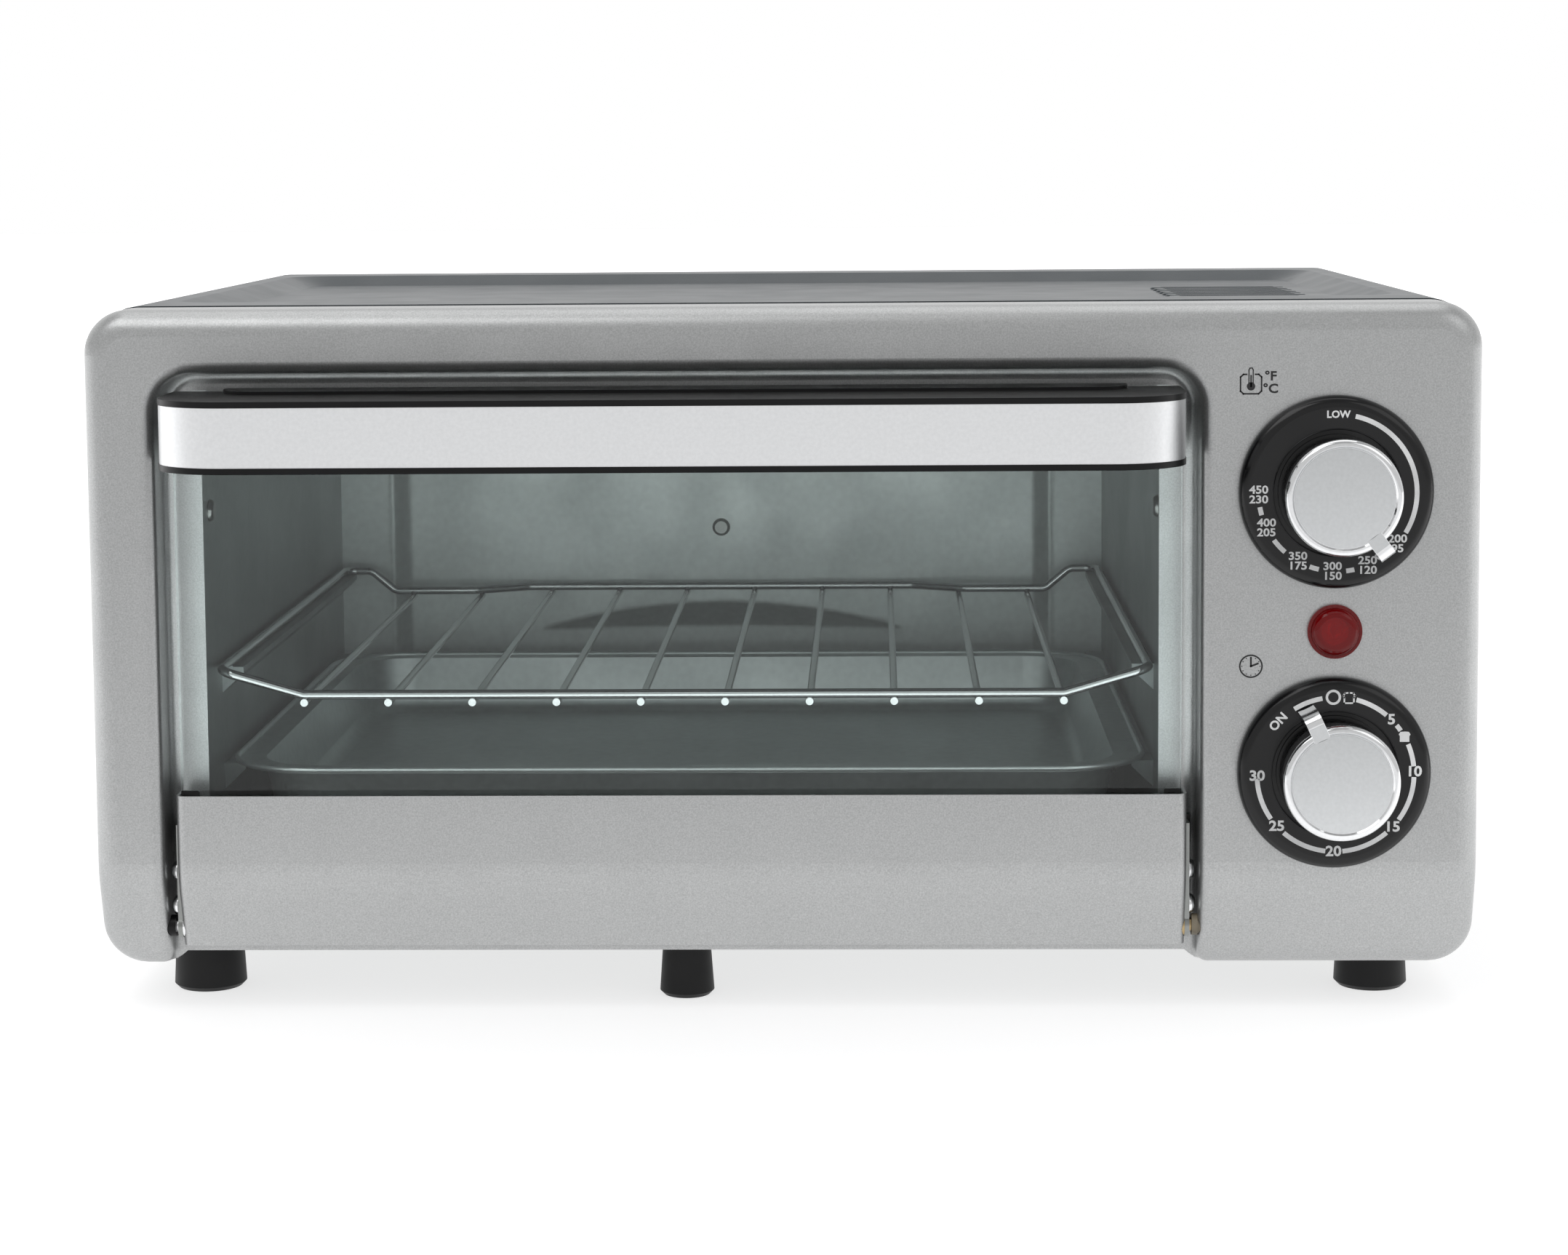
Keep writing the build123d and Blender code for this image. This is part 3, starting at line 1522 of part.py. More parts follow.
# Baking pan: shallow drawn pan whose flat rim, rolled at its edge, rests on the lower ribs.
pan_width = cavity_width - 2 * pan_side_gap
pan_y = front_y + pan_front_setback + pan_length / 2
pan_floor_z = pan_rim_z - pan_depth


def pan_bowl(inset):
    """Pan body below the rim, shrunk by inset."""
    mouth_width = pan_width - 2 * pan_rim_width - 2 * inset
    mouth_length = pan_length - 2 * pan_rim_width - 2 * inset
    mouth_corner = pan_corner - pan_rim_width - inset
    with BuildPart() as bowl:
        with BuildSketch(Plane.XY.offset(pan_rim_z)):
            with Locations((pocket_mid, pan_y)):
                RectangleRounded(mouth_width, mouth_length, mouth_corner)
        with BuildSketch(Plane.XY.offset(pan_floor_z + inset)):
            with Locations((pocket_mid, pan_y)):
                RectangleRounded(
                    mouth_width - 2 * pan_draft,
                    mouth_length - 2 * pan_draft,
                    mouth_corner - pan_draft,
                )
        loft()
        fillet(bowl.faces().sort_by(Axis.Z)[0].edges(), pan_root - inset)
    return bowl.part


with BuildSketch() as rim_outline:
    with Locations((pocket_mid, pan_y)):
        RectangleRounded(pan_width - 2 * pan_bead, pan_length - 2 * pan_bead, pan_corner - pan_bead)
bead_line = rim_outline.sketch
bead_z = pan_rim_z - pan_sheet + pan_bead_lift + pan_bead
with BuildPart() as baking_pan:
    add(pan_bowl(0))
    with BuildSketch(Plane.XY.offset(pan_rim_z - pan_sheet)):
        add(bead_line)
    extrude(amount=pan_sheet)
    add(pan_bowl(pan_sheet), mode=Mode.SUBTRACT)
    bead_path = bead_line.moved(Location((0, 0, bead_z))).faces()[0].outer_wire()
    with BuildSketch(Plane(origin=bead_path @ 0, z_dir=bead_path % 0)):
        Circle(pan_bead)
    sweep(path=bead_path)
save(baking_pan, "baking_pan")


# Crumb tray: flat tray on the bottom plate that draws out through a slot in the rear panel.
tray_front_y = front_y + tray_front_setback
with BuildPart() as crumb_tray:
    with BuildSketch(Plane.XY.offset(tray_z)):
        with Locations((tray_mid, (tray_front_y + rear_y + slip_gap) / 2)):
            Rectangle(tray_width, rear_y + slip_gap - tray_front_y)
    extrude(amount=tray_rim)
    with BuildSketch(Plane.XY.offset(tray_z + tray_sheet)):
        with Locations((tray_mid, (tray_front_y + rear_y + slip_gap) / 2)):
            Rectangle(tray_width - 2 * tray_sheet, rear_y + slip_gap - tray_front_y - 2 * tray_sheet)
    extrude(amount=tray_rim, mode=Mode.SUBTRACT)
    lip_low = tray_z - tray_lip_overlap
    lip_high = tray_z + tray_rim + tray_lip_overlap
    with BuildSketch(facing(rear_y + slip_gap + tray_sheet)):
        with Locations((tray_mid, (lip_low + lip_high) / 2)):
            Rectangle(tray_width + 4 * tray_lip_overlap, lip_high - lip_low)
    extrude(amount=tray_sheet)
    with BuildSketch(Plane.XY.offset(lip_low)) as pull:
        with Locations((tray_mid, rear_y + slip_gap + tray_pull / 2)):
            Rectangle(tray_pull_width, tray_pull)
        fillet(pull.vertices().group_by(Axis.Y)[-1], tray_pull / 2)
    extrude(amount=tray_sheet)
save(crumb_tray, "crumb_tray")
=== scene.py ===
import math

import bmesh
import bpy
from mathutils import Matrix, Vector


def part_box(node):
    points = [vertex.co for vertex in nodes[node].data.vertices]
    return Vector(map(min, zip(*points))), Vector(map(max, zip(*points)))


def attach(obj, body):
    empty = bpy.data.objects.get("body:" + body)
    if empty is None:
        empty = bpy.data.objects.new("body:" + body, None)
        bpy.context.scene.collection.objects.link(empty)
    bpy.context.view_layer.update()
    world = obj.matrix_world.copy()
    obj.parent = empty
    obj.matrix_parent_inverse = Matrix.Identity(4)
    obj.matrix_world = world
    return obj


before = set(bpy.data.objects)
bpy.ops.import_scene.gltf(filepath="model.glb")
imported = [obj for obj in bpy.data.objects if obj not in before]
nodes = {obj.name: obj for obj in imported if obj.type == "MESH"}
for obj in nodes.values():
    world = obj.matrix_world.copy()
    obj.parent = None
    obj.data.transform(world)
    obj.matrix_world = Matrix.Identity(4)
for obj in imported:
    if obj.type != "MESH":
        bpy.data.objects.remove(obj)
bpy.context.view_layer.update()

MM = 0.001
X, Y, Z = Vector((1, 0, 0)), Vector((0, 1, 0)), Vector((0, 0, 1))
SQUARE = ((-1, -1), (1, -1), (1, 1), (-1, 1))


def srgb(level):
    """Linear value of an 8-bit sRGB level."""
    c = level / 255
    return c / 12.92 if c <= 0.04045 else ((c + 0.055) / 1.055) ** 2.4


def tone(r, g, b):
    return (srgb(r), srgb(g), srgb(b), 1.0)


def remap(tree, value, source, target, interpolation="LINEAR"):
    """Carries a node's value from one span to another."""
    made = tree.nodes.new("ShaderNodeMapRange")
    made.interpolation_type = interpolation
    for name, number in zip(("From Min", "From Max", "To Min", "To Max"), (*source, *target)):
        made.inputs[name].default_value = number
    tree.links.new(value, made.inputs["Value"])
    return made.outputs["Result"]


# Finishes: their marks are laid out in metres, so a scale of 1000 gives marks of about a millimetre.
NOISE_SPAN = (0.3, 0.7)
PLASTIC_GRAIN = 0.03 * MM
GLAZE_GRAIN = 0.02 * MM
FINE_GRAIN = 0.01 * MM


class Surface:
    def __init__(self, name, color, metallic, roughness, **sockets):
        self.material = bpy.data.materials.new(name)
        self.material.use_nodes = True
        self.tree = self.material.node_tree
        self.shader = self.tree.nodes["Principled BSDF"]
        self.shader.inputs["Base Color"].default_value = color
        self.shader.inputs["Metallic"].default_value = metallic
        self.shader.inputs["Roughness"].default_value = roughness
        for socket, value in sockets.items():
            self.shader.inputs[socket.replace("_", " ")].default_value = value
        self.color = color
        self.roughness = roughness
        self.coords = self.tree.nodes.new("ShaderNodeTexCoord")

    def noise(self, scale, detail):
        texture = self.tree.nodes.new("ShaderNodeTexNoise")
        texture.inputs["Scale"].default_value = scale
        texture.inputs["Detail"].default_value = detail
        self.tree.links.new(self.coords.outputs["Object"], texture.inputs["Vector"])
        return texture.outputs["Fac"]

    def mottle(self, scale, detail, dark, light):
        """Base colour runs between two tints of itself."""
        ramp = self.tree.nodes.new("ShaderNodeValToRGB")
        for stop, place, tint in zip(ramp.color_ramp.elements, NOISE_SPAN, (dark, light)):
            stop.position = place
            stop.color = [min(1.0, c * tint) for c in self.color[:3]] + [1.0]
        self.tree.links.new(self.noise(scale, detail), ramp.inputs["Fac"])
        self.tree.links.new(ramp.outputs["Color"], self.shader.inputs["Base Color"])

    def vary_roughness(self, scale, detail, amount):
        span = (self.roughness - amount, self.roughness + amount)
        varied = remap(self.tree, self.noise(scale, detail), NOISE_SPAN, span)
        self.tree.links.new(varied, self.shader.inputs["Roughness"])

    def bump(self, scale, detail, height, strength):
        bump = self.tree.nodes.new("ShaderNodeBump")
        bump.inputs["Strength"].default_value = strength
        bump.inputs["Distance"].default_value = height
        self.tree.links.new(self.noise(scale, detail), bump.inputs["Height"])
        self.tree.links.new(bump.outputs["Normal"], self.shader.inputs["Normal"])


def metallic_paint(name, color, metallic, roughness, coat, coat_roughness):
    """Metal paint under lacquer: fine flake, slow cloudiness and a little orange peel."""
    surface = Surface(name, color, metallic, roughness, Coat_Weight=coat, Coat_Roughness=coat_roughness)
    surface.mottle(scale=2600, detail=2, dark=0.86, light=1.14)
    surface.vary_roughness(scale=60, detail=2, amount=0.03)
    surface.bump(scale=900, detail=2, height=0.02 * MM, strength=0.35)
    return surface.material


def plated_sheet(name, color, roughness, metallic):
    """Plain plated sheet: speckle, soft stains and fine grain."""
    surface = Surface(name, color, metallic, roughness)
    surface.mottle(scale=420, detail=5, dark=0.95, light=1.05)
    surface.vary_roughness(scale=35, detail=4, amount=0.06)
    surface.bump(scale=1500, detail=2, height=0.02 * MM, strength=0.25)
    return surface.material


def bright_metal(name, color, roughness):
    """Bare metal, bright or satin, with faint marks."""
    surface = Surface(name, color, 1.0, roughness)
    surface.mottle(scale=1100, detail=2, dark=0.97, light=1.03)
    surface.vary_roughness(scale=700, detail=2, amount=0.02)
    return surface.material


def moulded(name, color, roughness, grain=PLASTIC_GRAIN, **sockets):
    """Moulded, glazed or printed surface with fine grain."""
    surface = Surface(name, color, 0.0, roughness, **sockets)
    surface.mottle(scale=90, detail=3, dark=0.85, light=1.2)
    surface.vary_roughness(scale=70, detail=3, amount=0.05)
    surface.bump(scale=1400, detail=2, height=grain, strength=0.4)
    return surface.material


def clear(name, color, roughness, weight, ior):
    """Clear or tinted piece. A low index stands for glass that is lit to show little glare."""
    surface = Surface(name, color, 0.0, roughness, IOR=ior, Transmission_Weight=weight)
    surface.vary_roughness(scale=30, detail=3, amount=roughness / 2)
    return surface.material


def round_edges(material, radius):
    """Shades the sheet's folds as rounded."""
    tree = material.node_tree
    rounded = tree.nodes.new("ShaderNodeBevel")
    rounded.samples = 4
    rounded.inputs["Radius"].default_value = radius
    bump = next(n for n in tree.nodes if n.type == "BUMP")
    tree.links.new(rounded.outputs["Normal"], bump.inputs["Normal"])


silver = metallic_paint(
    "silver_paint", tone(175, 176, 176), metallic=0.85, roughness=0.38, coat=0.15, coat_roughness=0.25
)
grey = metallic_paint(
    "grey_paint", tone(50, 57, 61), metallic=0.25, roughness=0.42, coat=0.1, coat_roughness=0.12
)
# Painted shade: this copy of the cavity's plated steel is darker, for the shade and dark reflections on the
# walls, ceiling, floor plate, crumb tray and door lining.
sheet = plated_sheet("plated_sheet", tone(146, 152, 151), roughness=0.42, metallic=0.8)
# Painted light: the rear panel's copy of the same plated steel is much lighter, for the light that falls on
# it.
lit_rear_sheet = plated_sheet("lit_rear_sheet", tone(222, 228, 226), roughness=0.42, metallic=0.45)
round_edges(lit_rear_sheet, radius=2.5 * MM)
# Painted light: the pan's copy of the same plated steel is lighter too, for the light that falls on it.
lit_pan_metal = plated_sheet("lit_pan_metal", tone(222, 228, 227), roughness=0.36, metallic=0.8)
element = plated_sheet("element_sheath", tone(120, 118, 114), roughness=0.45, metallic=0.75)
chrome = bright_metal("chrome", tone(226, 227, 228), roughness=0.1)
wire = bright_metal("rack_wire", tone(196, 198, 198), roughness=0.14)
strip_metal = bright_metal("strip_metal", tone(230, 231, 232), roughness=0.38)
face_metal = bright_metal("knob_face", tone(205, 207, 208), roughness=0.45)
steel = bright_metal("dull_steel", tone(140, 142, 140), roughness=0.34)
brass = bright_metal("brass", tone(168, 148, 112), roughness=0.3)
black = moulded("black_plastic", tone(14, 14, 15), roughness=0.33, Specular_IOR_Level=0.2)
gloss_black = moulded(
    "gloss_black", tone(15, 15, 16), roughness=0.18, grain=FINE_GRAIN, Specular_IOR_Level=0.35
)
rubber = moulded("foot_rubber", tone(17, 17, 18), roughness=0.55, Specular_IOR_Level=0.3)
pale = moulded("pale_plastic", tone(128, 119, 102), roughness=0.45)
ceramic = moulded("ceramic", tone(224, 219, 206), roughness=0.35, grain=GLAZE_GRAIN)
insulation = moulded("wire_insulation", tone(205, 200, 190), roughness=0.55)
print_white = moulded("print_white", tone(226, 227, 227), roughness=0.5, grain=FINE_GRAIN)
print_black = moulded("print_black", tone(22, 22, 23), roughness=0.5, grain=FINE_GRAIN)
# Painted shade: the dark inside the screws' driver recesses.
painted_slot_shade = moulded("painted_slot_shade", tone(40, 40, 41), roughness=0.6)
glass = clear("door_glass", (0.90, 0.95, 0.945, 1.0), roughness=0.02, weight=1.0, ior=1.28)
lamp_glass = clear("lamp_glass", (0.95, 0.90, 0.82, 1.0), roughness=0.05, weight=0.9, ior=1.5)
red = clear("red_lens", (0.42, 0.003, 0.005, 1.0), roughness=0.04, weight=0.6, ior=1.35)

dressing = {
    silver: ["front_panel", "door_panel"],
    grey: ["outer_cover"],
    sheet: [
        "bottom_plate", "cavity_left_wall", "cavity_right_wall", "cavity_ceiling", "crumb_tray",
        "door_inner_panel",
    ],
    lit_rear_sheet: ["rear_panel"],
    lit_pan_metal: ["baking_pan"],
    wire: ["wire_rack"],
    chrome: [
        "door_rivets", "timer_bell", "thermostat_shaft", "timer_shaft", "thermostat_knob", "timer_knob",
        "cover_screws", "control_screws", "foot_screws", "handle_screws",
        "left_hinge_pin", "left_door_spring", "right_door_spring",
    ],
    steel: ["wall_rivets", "rear_spacer", "left_hinge_leaf", "right_hinge_leaf"],
    brass: ["right_hinge_pin"],
    strip_metal: ["handle_strip"],
    black: ["handle_body", "thermostat_body", "timer_body", "left_hinge_bush", "cord_gland"],
    gloss_black: ["thermostat_dial", "timer_dial"],
    pale: ["right_hinge_bush"],
    rubber: [
        "front_left_foot", "front_right_foot", "rear_left_foot", "rear_right_foot", "front_center_foot",
    ],
    insulation: ["wiring"],
    element: ["upper_front_element", "upper_rear_element", "lower_front_element", "lower_rear_element"],
    ceramic: ["element_insulators"],
    glass: ["door_glass"],
    lamp_glass: ["pilot_lamp"],
    red: ["pilot_lens"],
}
for finish, names in dressing.items():
    for name in names:
        slots = nodes[name].data.materials
        slots.clear()
        slots.append(finish)


def plain_mesh(name, verts, faces):
    data = bpy.data.meshes.new(name)
    data.from_pydata(verts, [], faces)
    return data


def add_object(name, data, material):
    data.materials.append(material)
    made = bpy.data.objects.new(name, data)
    bpy.context.scene.collection.objects.link(made)
    return made


def add_piece(name, data, material, body):
    """Piece of the object, which moves with a body."""
    piece = add_object(name, data, material)
    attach(piece, body)


def front_middle(name):
    """Middle of the front of a node's box."""
    low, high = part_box(name)
    return Vector(((low.x + high.x) / 2, low.y, (low.z + high.z) / 2))


def around(angle, radius):
    """Point at a clock angle in degrees, right of and above a middle."""
    a = math.radians(angle)
    return radius * math.sin(a), radius * math.cos(a)


def moved(points, right, up, wide=1.0, tall=1.0):
    """Points of a sign, scaled and set about a middle."""
    return [(right + x * wide, up + z * tall) for x, z in points]


# Print on the dials and beside them: flat shapes just proud of the surface, drawn in millimetres.
PRINT_RISE = 0.03 * MM
SCALE_RADIUS = 20.6
SCALE_LINE = 1.25
ARC_STEP = 2.0
RING_STEPS = 40
CAPITAL_SHARE = 0.69
LETTER_STEPS = 3
BOLD = 0.03
HALF_BOLD = 0.026


class Print:
    def __init__(self, surface_point):
        self.mesh = bmesh.new()
        self.origin = surface_point - Y * PRINT_RISE

    def place(self, right, up):
        return self.origin + Vector((right, 0, up)) * MM

    def polygon(self, points):
        self.mesh.faces.new([self.mesh.verts.new(self.place(*p)) for p in points])

    def band(self, start, end, steps, radius, width, right=0.0, up=0.0):
        """Ring sector about a point, between two clock angles in degrees."""
        inner, outer = radius - width / 2, radius + width / 2
        angles = [start + (end - start) * i / steps for i in range(steps + 1)]
        for a, b in zip(angles, angles[1:]):
            corners = (around(a, inner), around(a, outer), around(b, outer), around(b, inner))
            self.polygon(moved(corners, right, up))

    def arc(self, start, end):
        """Stretch of a dial's scale line."""
        self.band(start, end, math.ceil((end - start) / ARC_STEP), SCALE_RADIUS, SCALE_LINE)

    def ring(self, right, up, radius, width):
        self.band(0, 360, RING_STEPS, radius, width, right, up)

    def stroke(self, points, width):
        """Line of even width through points, with square ends."""
        for (x0, z0), (x1, z1) in zip(points, points[1:]):
            half = width / 2 / math.hypot(x1 - x0, z1 - z0)
            x, z = (x1 - x0) * half, (z1 - z0) * half
            self.polygon((
                (x0 - x - z, z0 - z + x), (x1 + x - z, z1 + z + x),
                (x1 + x + z, z1 + z - x), (x0 - x + z, z0 - z - x),
            ))

    def words(self, text, right, up, height, weight, turn=0.0, stretch=1.0):
        """Text centred on a point, turned clockwise by degrees and widened by stretch."""
        curve = bpy.data.curves.new("words", "FONT")
        curve.body = text
        curve.size = height * MM / CAPITAL_SHARE
        curve.align_x = "CENTER"
        curve.align_y = "CENTER"
        curve.offset = weight * curve.size
        curve.resolution_u = LETTER_STEPS
        temporary = bpy.data.objects.new("words", curve)
        flat = bpy.data.meshes.new_from_object(temporary)
        spin = Matrix.Rotation(math.radians(turn), 4, "Y") @ Matrix.Rotation(math.pi / 2, 4, "X")
        wide = Matrix.Scale(stretch, 4, X)
        flat.transform(Matrix.Translation(self.place(right, up)) @ spin @ wide)
        self.mesh.from_mesh(flat)
        bpy.data.objects.remove(temporary)
        bpy.data.curves.remove(curve)
        bpy.data.meshes.remove(flat)

    def finish(self, name, material, slot):
        """Makes the print a piece of the oven, with every face turned to the front."""
        bmesh.ops.recalc_face_normals(self.mesh, faces=self.mesh.faces)
        for face in self.mesh.faces:
            if face.normal.y > 0:
                face.normal_flip()
        data = bpy.data.meshes.new(name)
        self.mesh.to_mesh(data)
        self.mesh.free()
        add_piece(name, data, material, "oven")


# Thermostat dial: a plain word, a long line and pairs of temperatures with dashes between them.
LOW_HEIGHT = 1.8
LOW_LINE = (12.5, 120.6)
TEMPERATURES = (
    (130.5, "200", "95"), (157.5, "250", "120"), (183.5, "300", "150"),
    (210, "350", "175"), (244, "400", "205"), (269, "450", "230"),
)
TEMPERATURE_HEIGHT = 2.0
TEMPERATURE_STRETCH = 1.14
TEMPERATURE_OFFSET = 1.28
DASHES = ((170.5, 3.0), (197, 3.5), (227.5, 6.0), (257, 3.0))

dial = Print(front_middle("thermostat_dial"))
dial.words("LOW", *around(0, SCALE_RADIUS), LOW_HEIGHT, BOLD)
dial.arc(*LOW_LINE)
for angle, *pair in TEMPERATURES:
    right, up = around(angle, SCALE_RADIUS)
    for text, lift in zip(pair, (TEMPERATURE_OFFSET, -TEMPERATURE_OFFSET)):
        dial.words(text, right, up + lift, TEMPERATURE_HEIGHT, HALF_BOLD, stretch=TEMPERATURE_STRETCH)
for middle, half in DASHES:
    dial.arc(middle - half, middle + half)
dial.finish("thermostat_print", print_white, "silver_plastic")

# Timer dial: minutes on a broken line, a ring, an open and a full slice of bread, and a plain word.
MINUTES = ((45, "5"), (88, "10"), (133, "15"), (181, "20"), (228, "25"), (269, "30"))
MINUTE_HEIGHT = 2.6
MINUTE_STRETCH = 1.1
MINUTE_LINES = (
    (-32, -10), (15, 40), (50.5, 55.5), (67, 84), (92, 126), (139, 174.5), (187, 221), (235, 267),
)
RING_ANGLE = -2
RING_RADIUS = 1.7
RING_LINE = 0.65
ON_ANGLE = -47
ON_HEIGHT = 2.3
OPEN_SLICE_ANGLE = 9.5
FULL_SLICE_ANGLE = 61
SLICE_LINE = 0.4
SLICE = (
    (-1.25, -1.3), (-1.25, 0.2), (-1.55, 0.7), (-1.1, 1.35), (0, 1.45),
    (1.1, 1.35), (1.55, 0.7), (1.25, 0.2), (1.25, -1.3),
)

dial = Print(front_middle("timer_dial"))
for angle, text in MINUTES:
    dial.words(text, *around(angle, SCALE_RADIUS), MINUTE_HEIGHT, BOLD, stretch=MINUTE_STRETCH)
for start, end in MINUTE_LINES:
    dial.arc(start, end)
dial.ring(*around(RING_ANGLE, SCALE_RADIUS), RING_RADIUS, RING_LINE)
dial.words("ON", *around(ON_ANGLE, SCALE_RADIUS), ON_HEIGHT, BOLD, ON_ANGLE)
dial.stroke(moved((*SLICE, SLICE[0]), *around(OPEN_SLICE_ANGLE, SCALE_RADIUS)), SLICE_LINE)
dial.polygon(moved(SLICE, *around(FULL_SLICE_ANGLE, SCALE_RADIUS)))
dial.finish("timer_print", print_white, "silver_plastic")

# Panel icons, from the middle of the panel's lower edge: a clock, and a framed thermometer with two units.
ICON_LINE = 0.42
CLOCK = (124.1, 82.25)
CLOCK_RADIUS = 2.93
CLOCK_HANDS = ((0, 2.2), (0, 0), (1.8, 0.7))
HAND_LINE = 0.5
HOUR_RING = 2.4
HOUR_DOT = 0.08
METER = (123.7, 156.9)
METER_FRAME = (
    (-0.42, 1), (-0.72, 1), (-1, 0.72), (-1, -0.72), (-0.72, -1),
    (0.72, -1), (1, -0.72), (1, 0.72), (0.72, 1), (0.42, 1),
)
FRAME_WIDE, FRAME_TALL = 2.75, 2.55
BULB_DROP = 0.6
BULB_RADIUS = 0.55
MERCURY = ((0, -BULB_DROP), (0, 2.2))
MERCURY_LINE = 0.4
STEM = ((-0.55, 0.4), (-0.55, 3.7), (-0.3, 4.2), (0.3, 4.2), (0.55, 3.7), (0.55, 0.4))
STEM_LINE = 0.3
UNITS = (("°F", 2.0), ("°C", -1.3))
UNIT_SHIFT = 5.1
UNIT_HEIGHT = 2.3
UNIT_STRETCH = 1.1

front_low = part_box("front_panel")[0]
icons = Print(Vector((0, front_low.y, front_low.z)))
icons.ring(*CLOCK, CLOCK_RADIUS, ICON_LINE)
icons.stroke(moved(CLOCK_HANDS, *CLOCK), HAND_LINE)
for hour_dot in moved([around(30 * hour, HOUR_RING) for hour in range(12)], *CLOCK):
    icons.ring(*hour_dot, HOUR_DOT, 2 * HOUR_DOT)
icons.stroke(moved(METER_FRAME, *METER, FRAME_WIDE, FRAME_TALL), ICON_LINE)
icons.ring(METER[0], METER[1] - BULB_DROP, BULB_RADIUS, 2 * BULB_RADIUS)
icons.stroke(moved(MERCURY, *METER), MERCURY_LINE)
icons.stroke(moved(STEM, *METER), STEM_LINE)
for text, lift in UNITS:
    icons.words(text, METER[0] + UNIT_SHIFT, METER[1] + lift, UNIT_HEIGHT, BOLD, stretch=UNIT_STRETCH)
icons.finish("panel_icons", print_black, "black_plastic")


# Knob faces, in millimetres: satin discs let into the bright rims, and a satin strip on each flush pointer.
POINTER_ANGLES = {"thermostat": 143, "timer": -24.5}
FACE_SINK = 0.28
FACE_THICKNESS = 0.27
FACE_RADIUS = 12.98
FACE_OUTLINE = (
    (0, 0), (12.6, 0), (12.9, 0.06), (FACE_RADIUS, 0.2), (FACE_RADIUS, FACE_THICKNESS), (0, FACE_THICKNESS),
)
FACE_STEPS = 96
SHARP_ANGLE = 30
POINTER_HALF = 2.05
POINTER_START, POINTER_END = 12.5, 16.4
POINTER_CORNERS = (
    (-POINTER_HALF, POINTER_START), (POINTER_HALF, POINTER_START),
    (POINTER_HALF, POINTER_END), (-POINTER_HALF, POINTER_END),
)
POINTER_SIDES = [(0, 1, 2, 3), (7, 6, 5, 4), (0, 4, 5, 1), (1, 5, 6, 2), (2, 6, 7, 3), (3, 7, 4, 0)]


def turned_face(name, middle):
    """Disc turned about a front-to-back line from the face's (radius, depth) points."""
    mesh = bmesh.new()
    turns = [2 * math.pi * i / FACE_STEPS for i in range(FACE_STEPS)]
    rings = []
    for radius, depth in FACE_OUTLINE:
        rings.append([
            mesh.verts.new(middle + Vector((radius * math.cos(t), depth, radius * math.sin(t))) * MM)
            for t in (turns if radius else turns[:1])
        ])
    for low, high in zip(rings, rings[1:]):
        for i in range(FACE_STEPS):
            near = [low[k % len(low)] for k in (i, i + 1)]
            far = [high[k % len(high)] for k in (i + 1, i)]
            mesh.faces.new(list(dict.fromkeys(near + far)))
    bmesh.ops.recalc_face_normals(mesh, faces=mesh.faces)
    data = bpy.data.meshes.new(name)
    mesh.to_mesh(data)
    mesh.free()
    for face in data.polygons:
        face.use_smooth = True
    data.set_sharp_from_angle(angle=math.radians(SHARP_ANGLE))
    return data


for name, angle in POINTER_ANGLES.items():
    body = f"{name}_control"
    middle = front_middle(f"{name}_dial")
    middle.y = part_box(f"{name}_knob")[0].y + FACE_SINK * MM
    disc = f"{name}_knob_face"
    add_piece(disc, turned_face(disc, middle), face_metal, body)
    turn = Matrix.Rotation(math.radians(angle), 3, "Y")
    verts = [
        middle + turn @ Vector((x, depth, up)) * MM
        for depth in (0, FACE_THICKNESS)
        for x, up in POINTER_CORNERS
    ]
    strip = f"{name}_pointer_face"
    add_piece(strip, plain_mesh(strip, verts, POINTER_SIDES), face_metal, body)


# Driver slots: dark crosses just proud of the screw heads that show, painted shade where the recesses are.
SLOT_RISE = 0.04 * MM
WELD = 0.001 * MM


def islands(name):
    """Boxes of the separate solids of a node, in the order of their low corners."""
    mesh = bmesh.new()
    mesh.from_mesh(nodes[name].data)
    bmesh.ops.remove_doubles(mesh, verts=mesh.verts, dist=WELD)
    left = set(mesh.verts)
    boxes = []
    while left:
        edge = [left.pop()]
        points = []
        while edge:
            vert = edge.pop()
            points.append(vert.co.copy())
            for link in vert.link_edges:
                other = link.other_vert(vert)
                if other in left:
                    left.remove(other)
                    edge.append(other)
        boxes.append(tuple(Vector(pick(p[i] for p in points) for i in range(3)) for pick in (min, max)))
    mesh.free()
    return sorted(boxes, key=lambda box: tuple(box[0]))


def rear_heads(name):
    """Middle, right and up of each screw head that faces the rear."""
    return [((low + high) / 2 * (X + Z) + Y * (high.y + SLOT_RISE), X, Z) for low, high in islands(name)]


def under_heads(name):
    """The same for screw heads that face down."""
    return [((low + high) / 2 * (X + Y) + Z * (low.z - SLOT_RISE), X, Y) for low, high in islands(name)]


def cross_slots(name, heads, arm, half_width, body):
    """Crosses of painted shade on screw heads, with arms in millimetres."""
    verts, faces = [], []
    for middle, right, up in heads:
        for along, aside in ((right, up), (up, right)):
            faces.append(range(len(verts), len(verts) + len(SQUARE)))
            verts += [middle + (along * i * arm + aside * j * half_width) * MM for i, j in SQUARE]
    add_piece(name, plain_mesh(name, verts, faces), painted_slot_shade, body)


cross_slots("cover_screw_slots", rear_heads("cover_screws"), arm=1.2, half_width=0.28, body="oven")
cross_slots("handle_screw_slots", rear_heads("handle_screws"), arm=2.2, half_width=0.5, body="door")
cross_slots("foot_screw_slots", under_heads("foot_screws"), arm=1.8, half_width=0.4, body="oven")


# Floor, studio, lamps and camera, in metres.
def math_node(tree, operation, first, second):
    made = tree.nodes.new("ShaderNodeMath")
    made.operation = operation
    for socket, value in zip(made.inputs, (first, second)):
        if isinstance(value, float):
            socket.default_value = value
        else:
            tree.links.new(value, socket)
    return made.outputs[0]


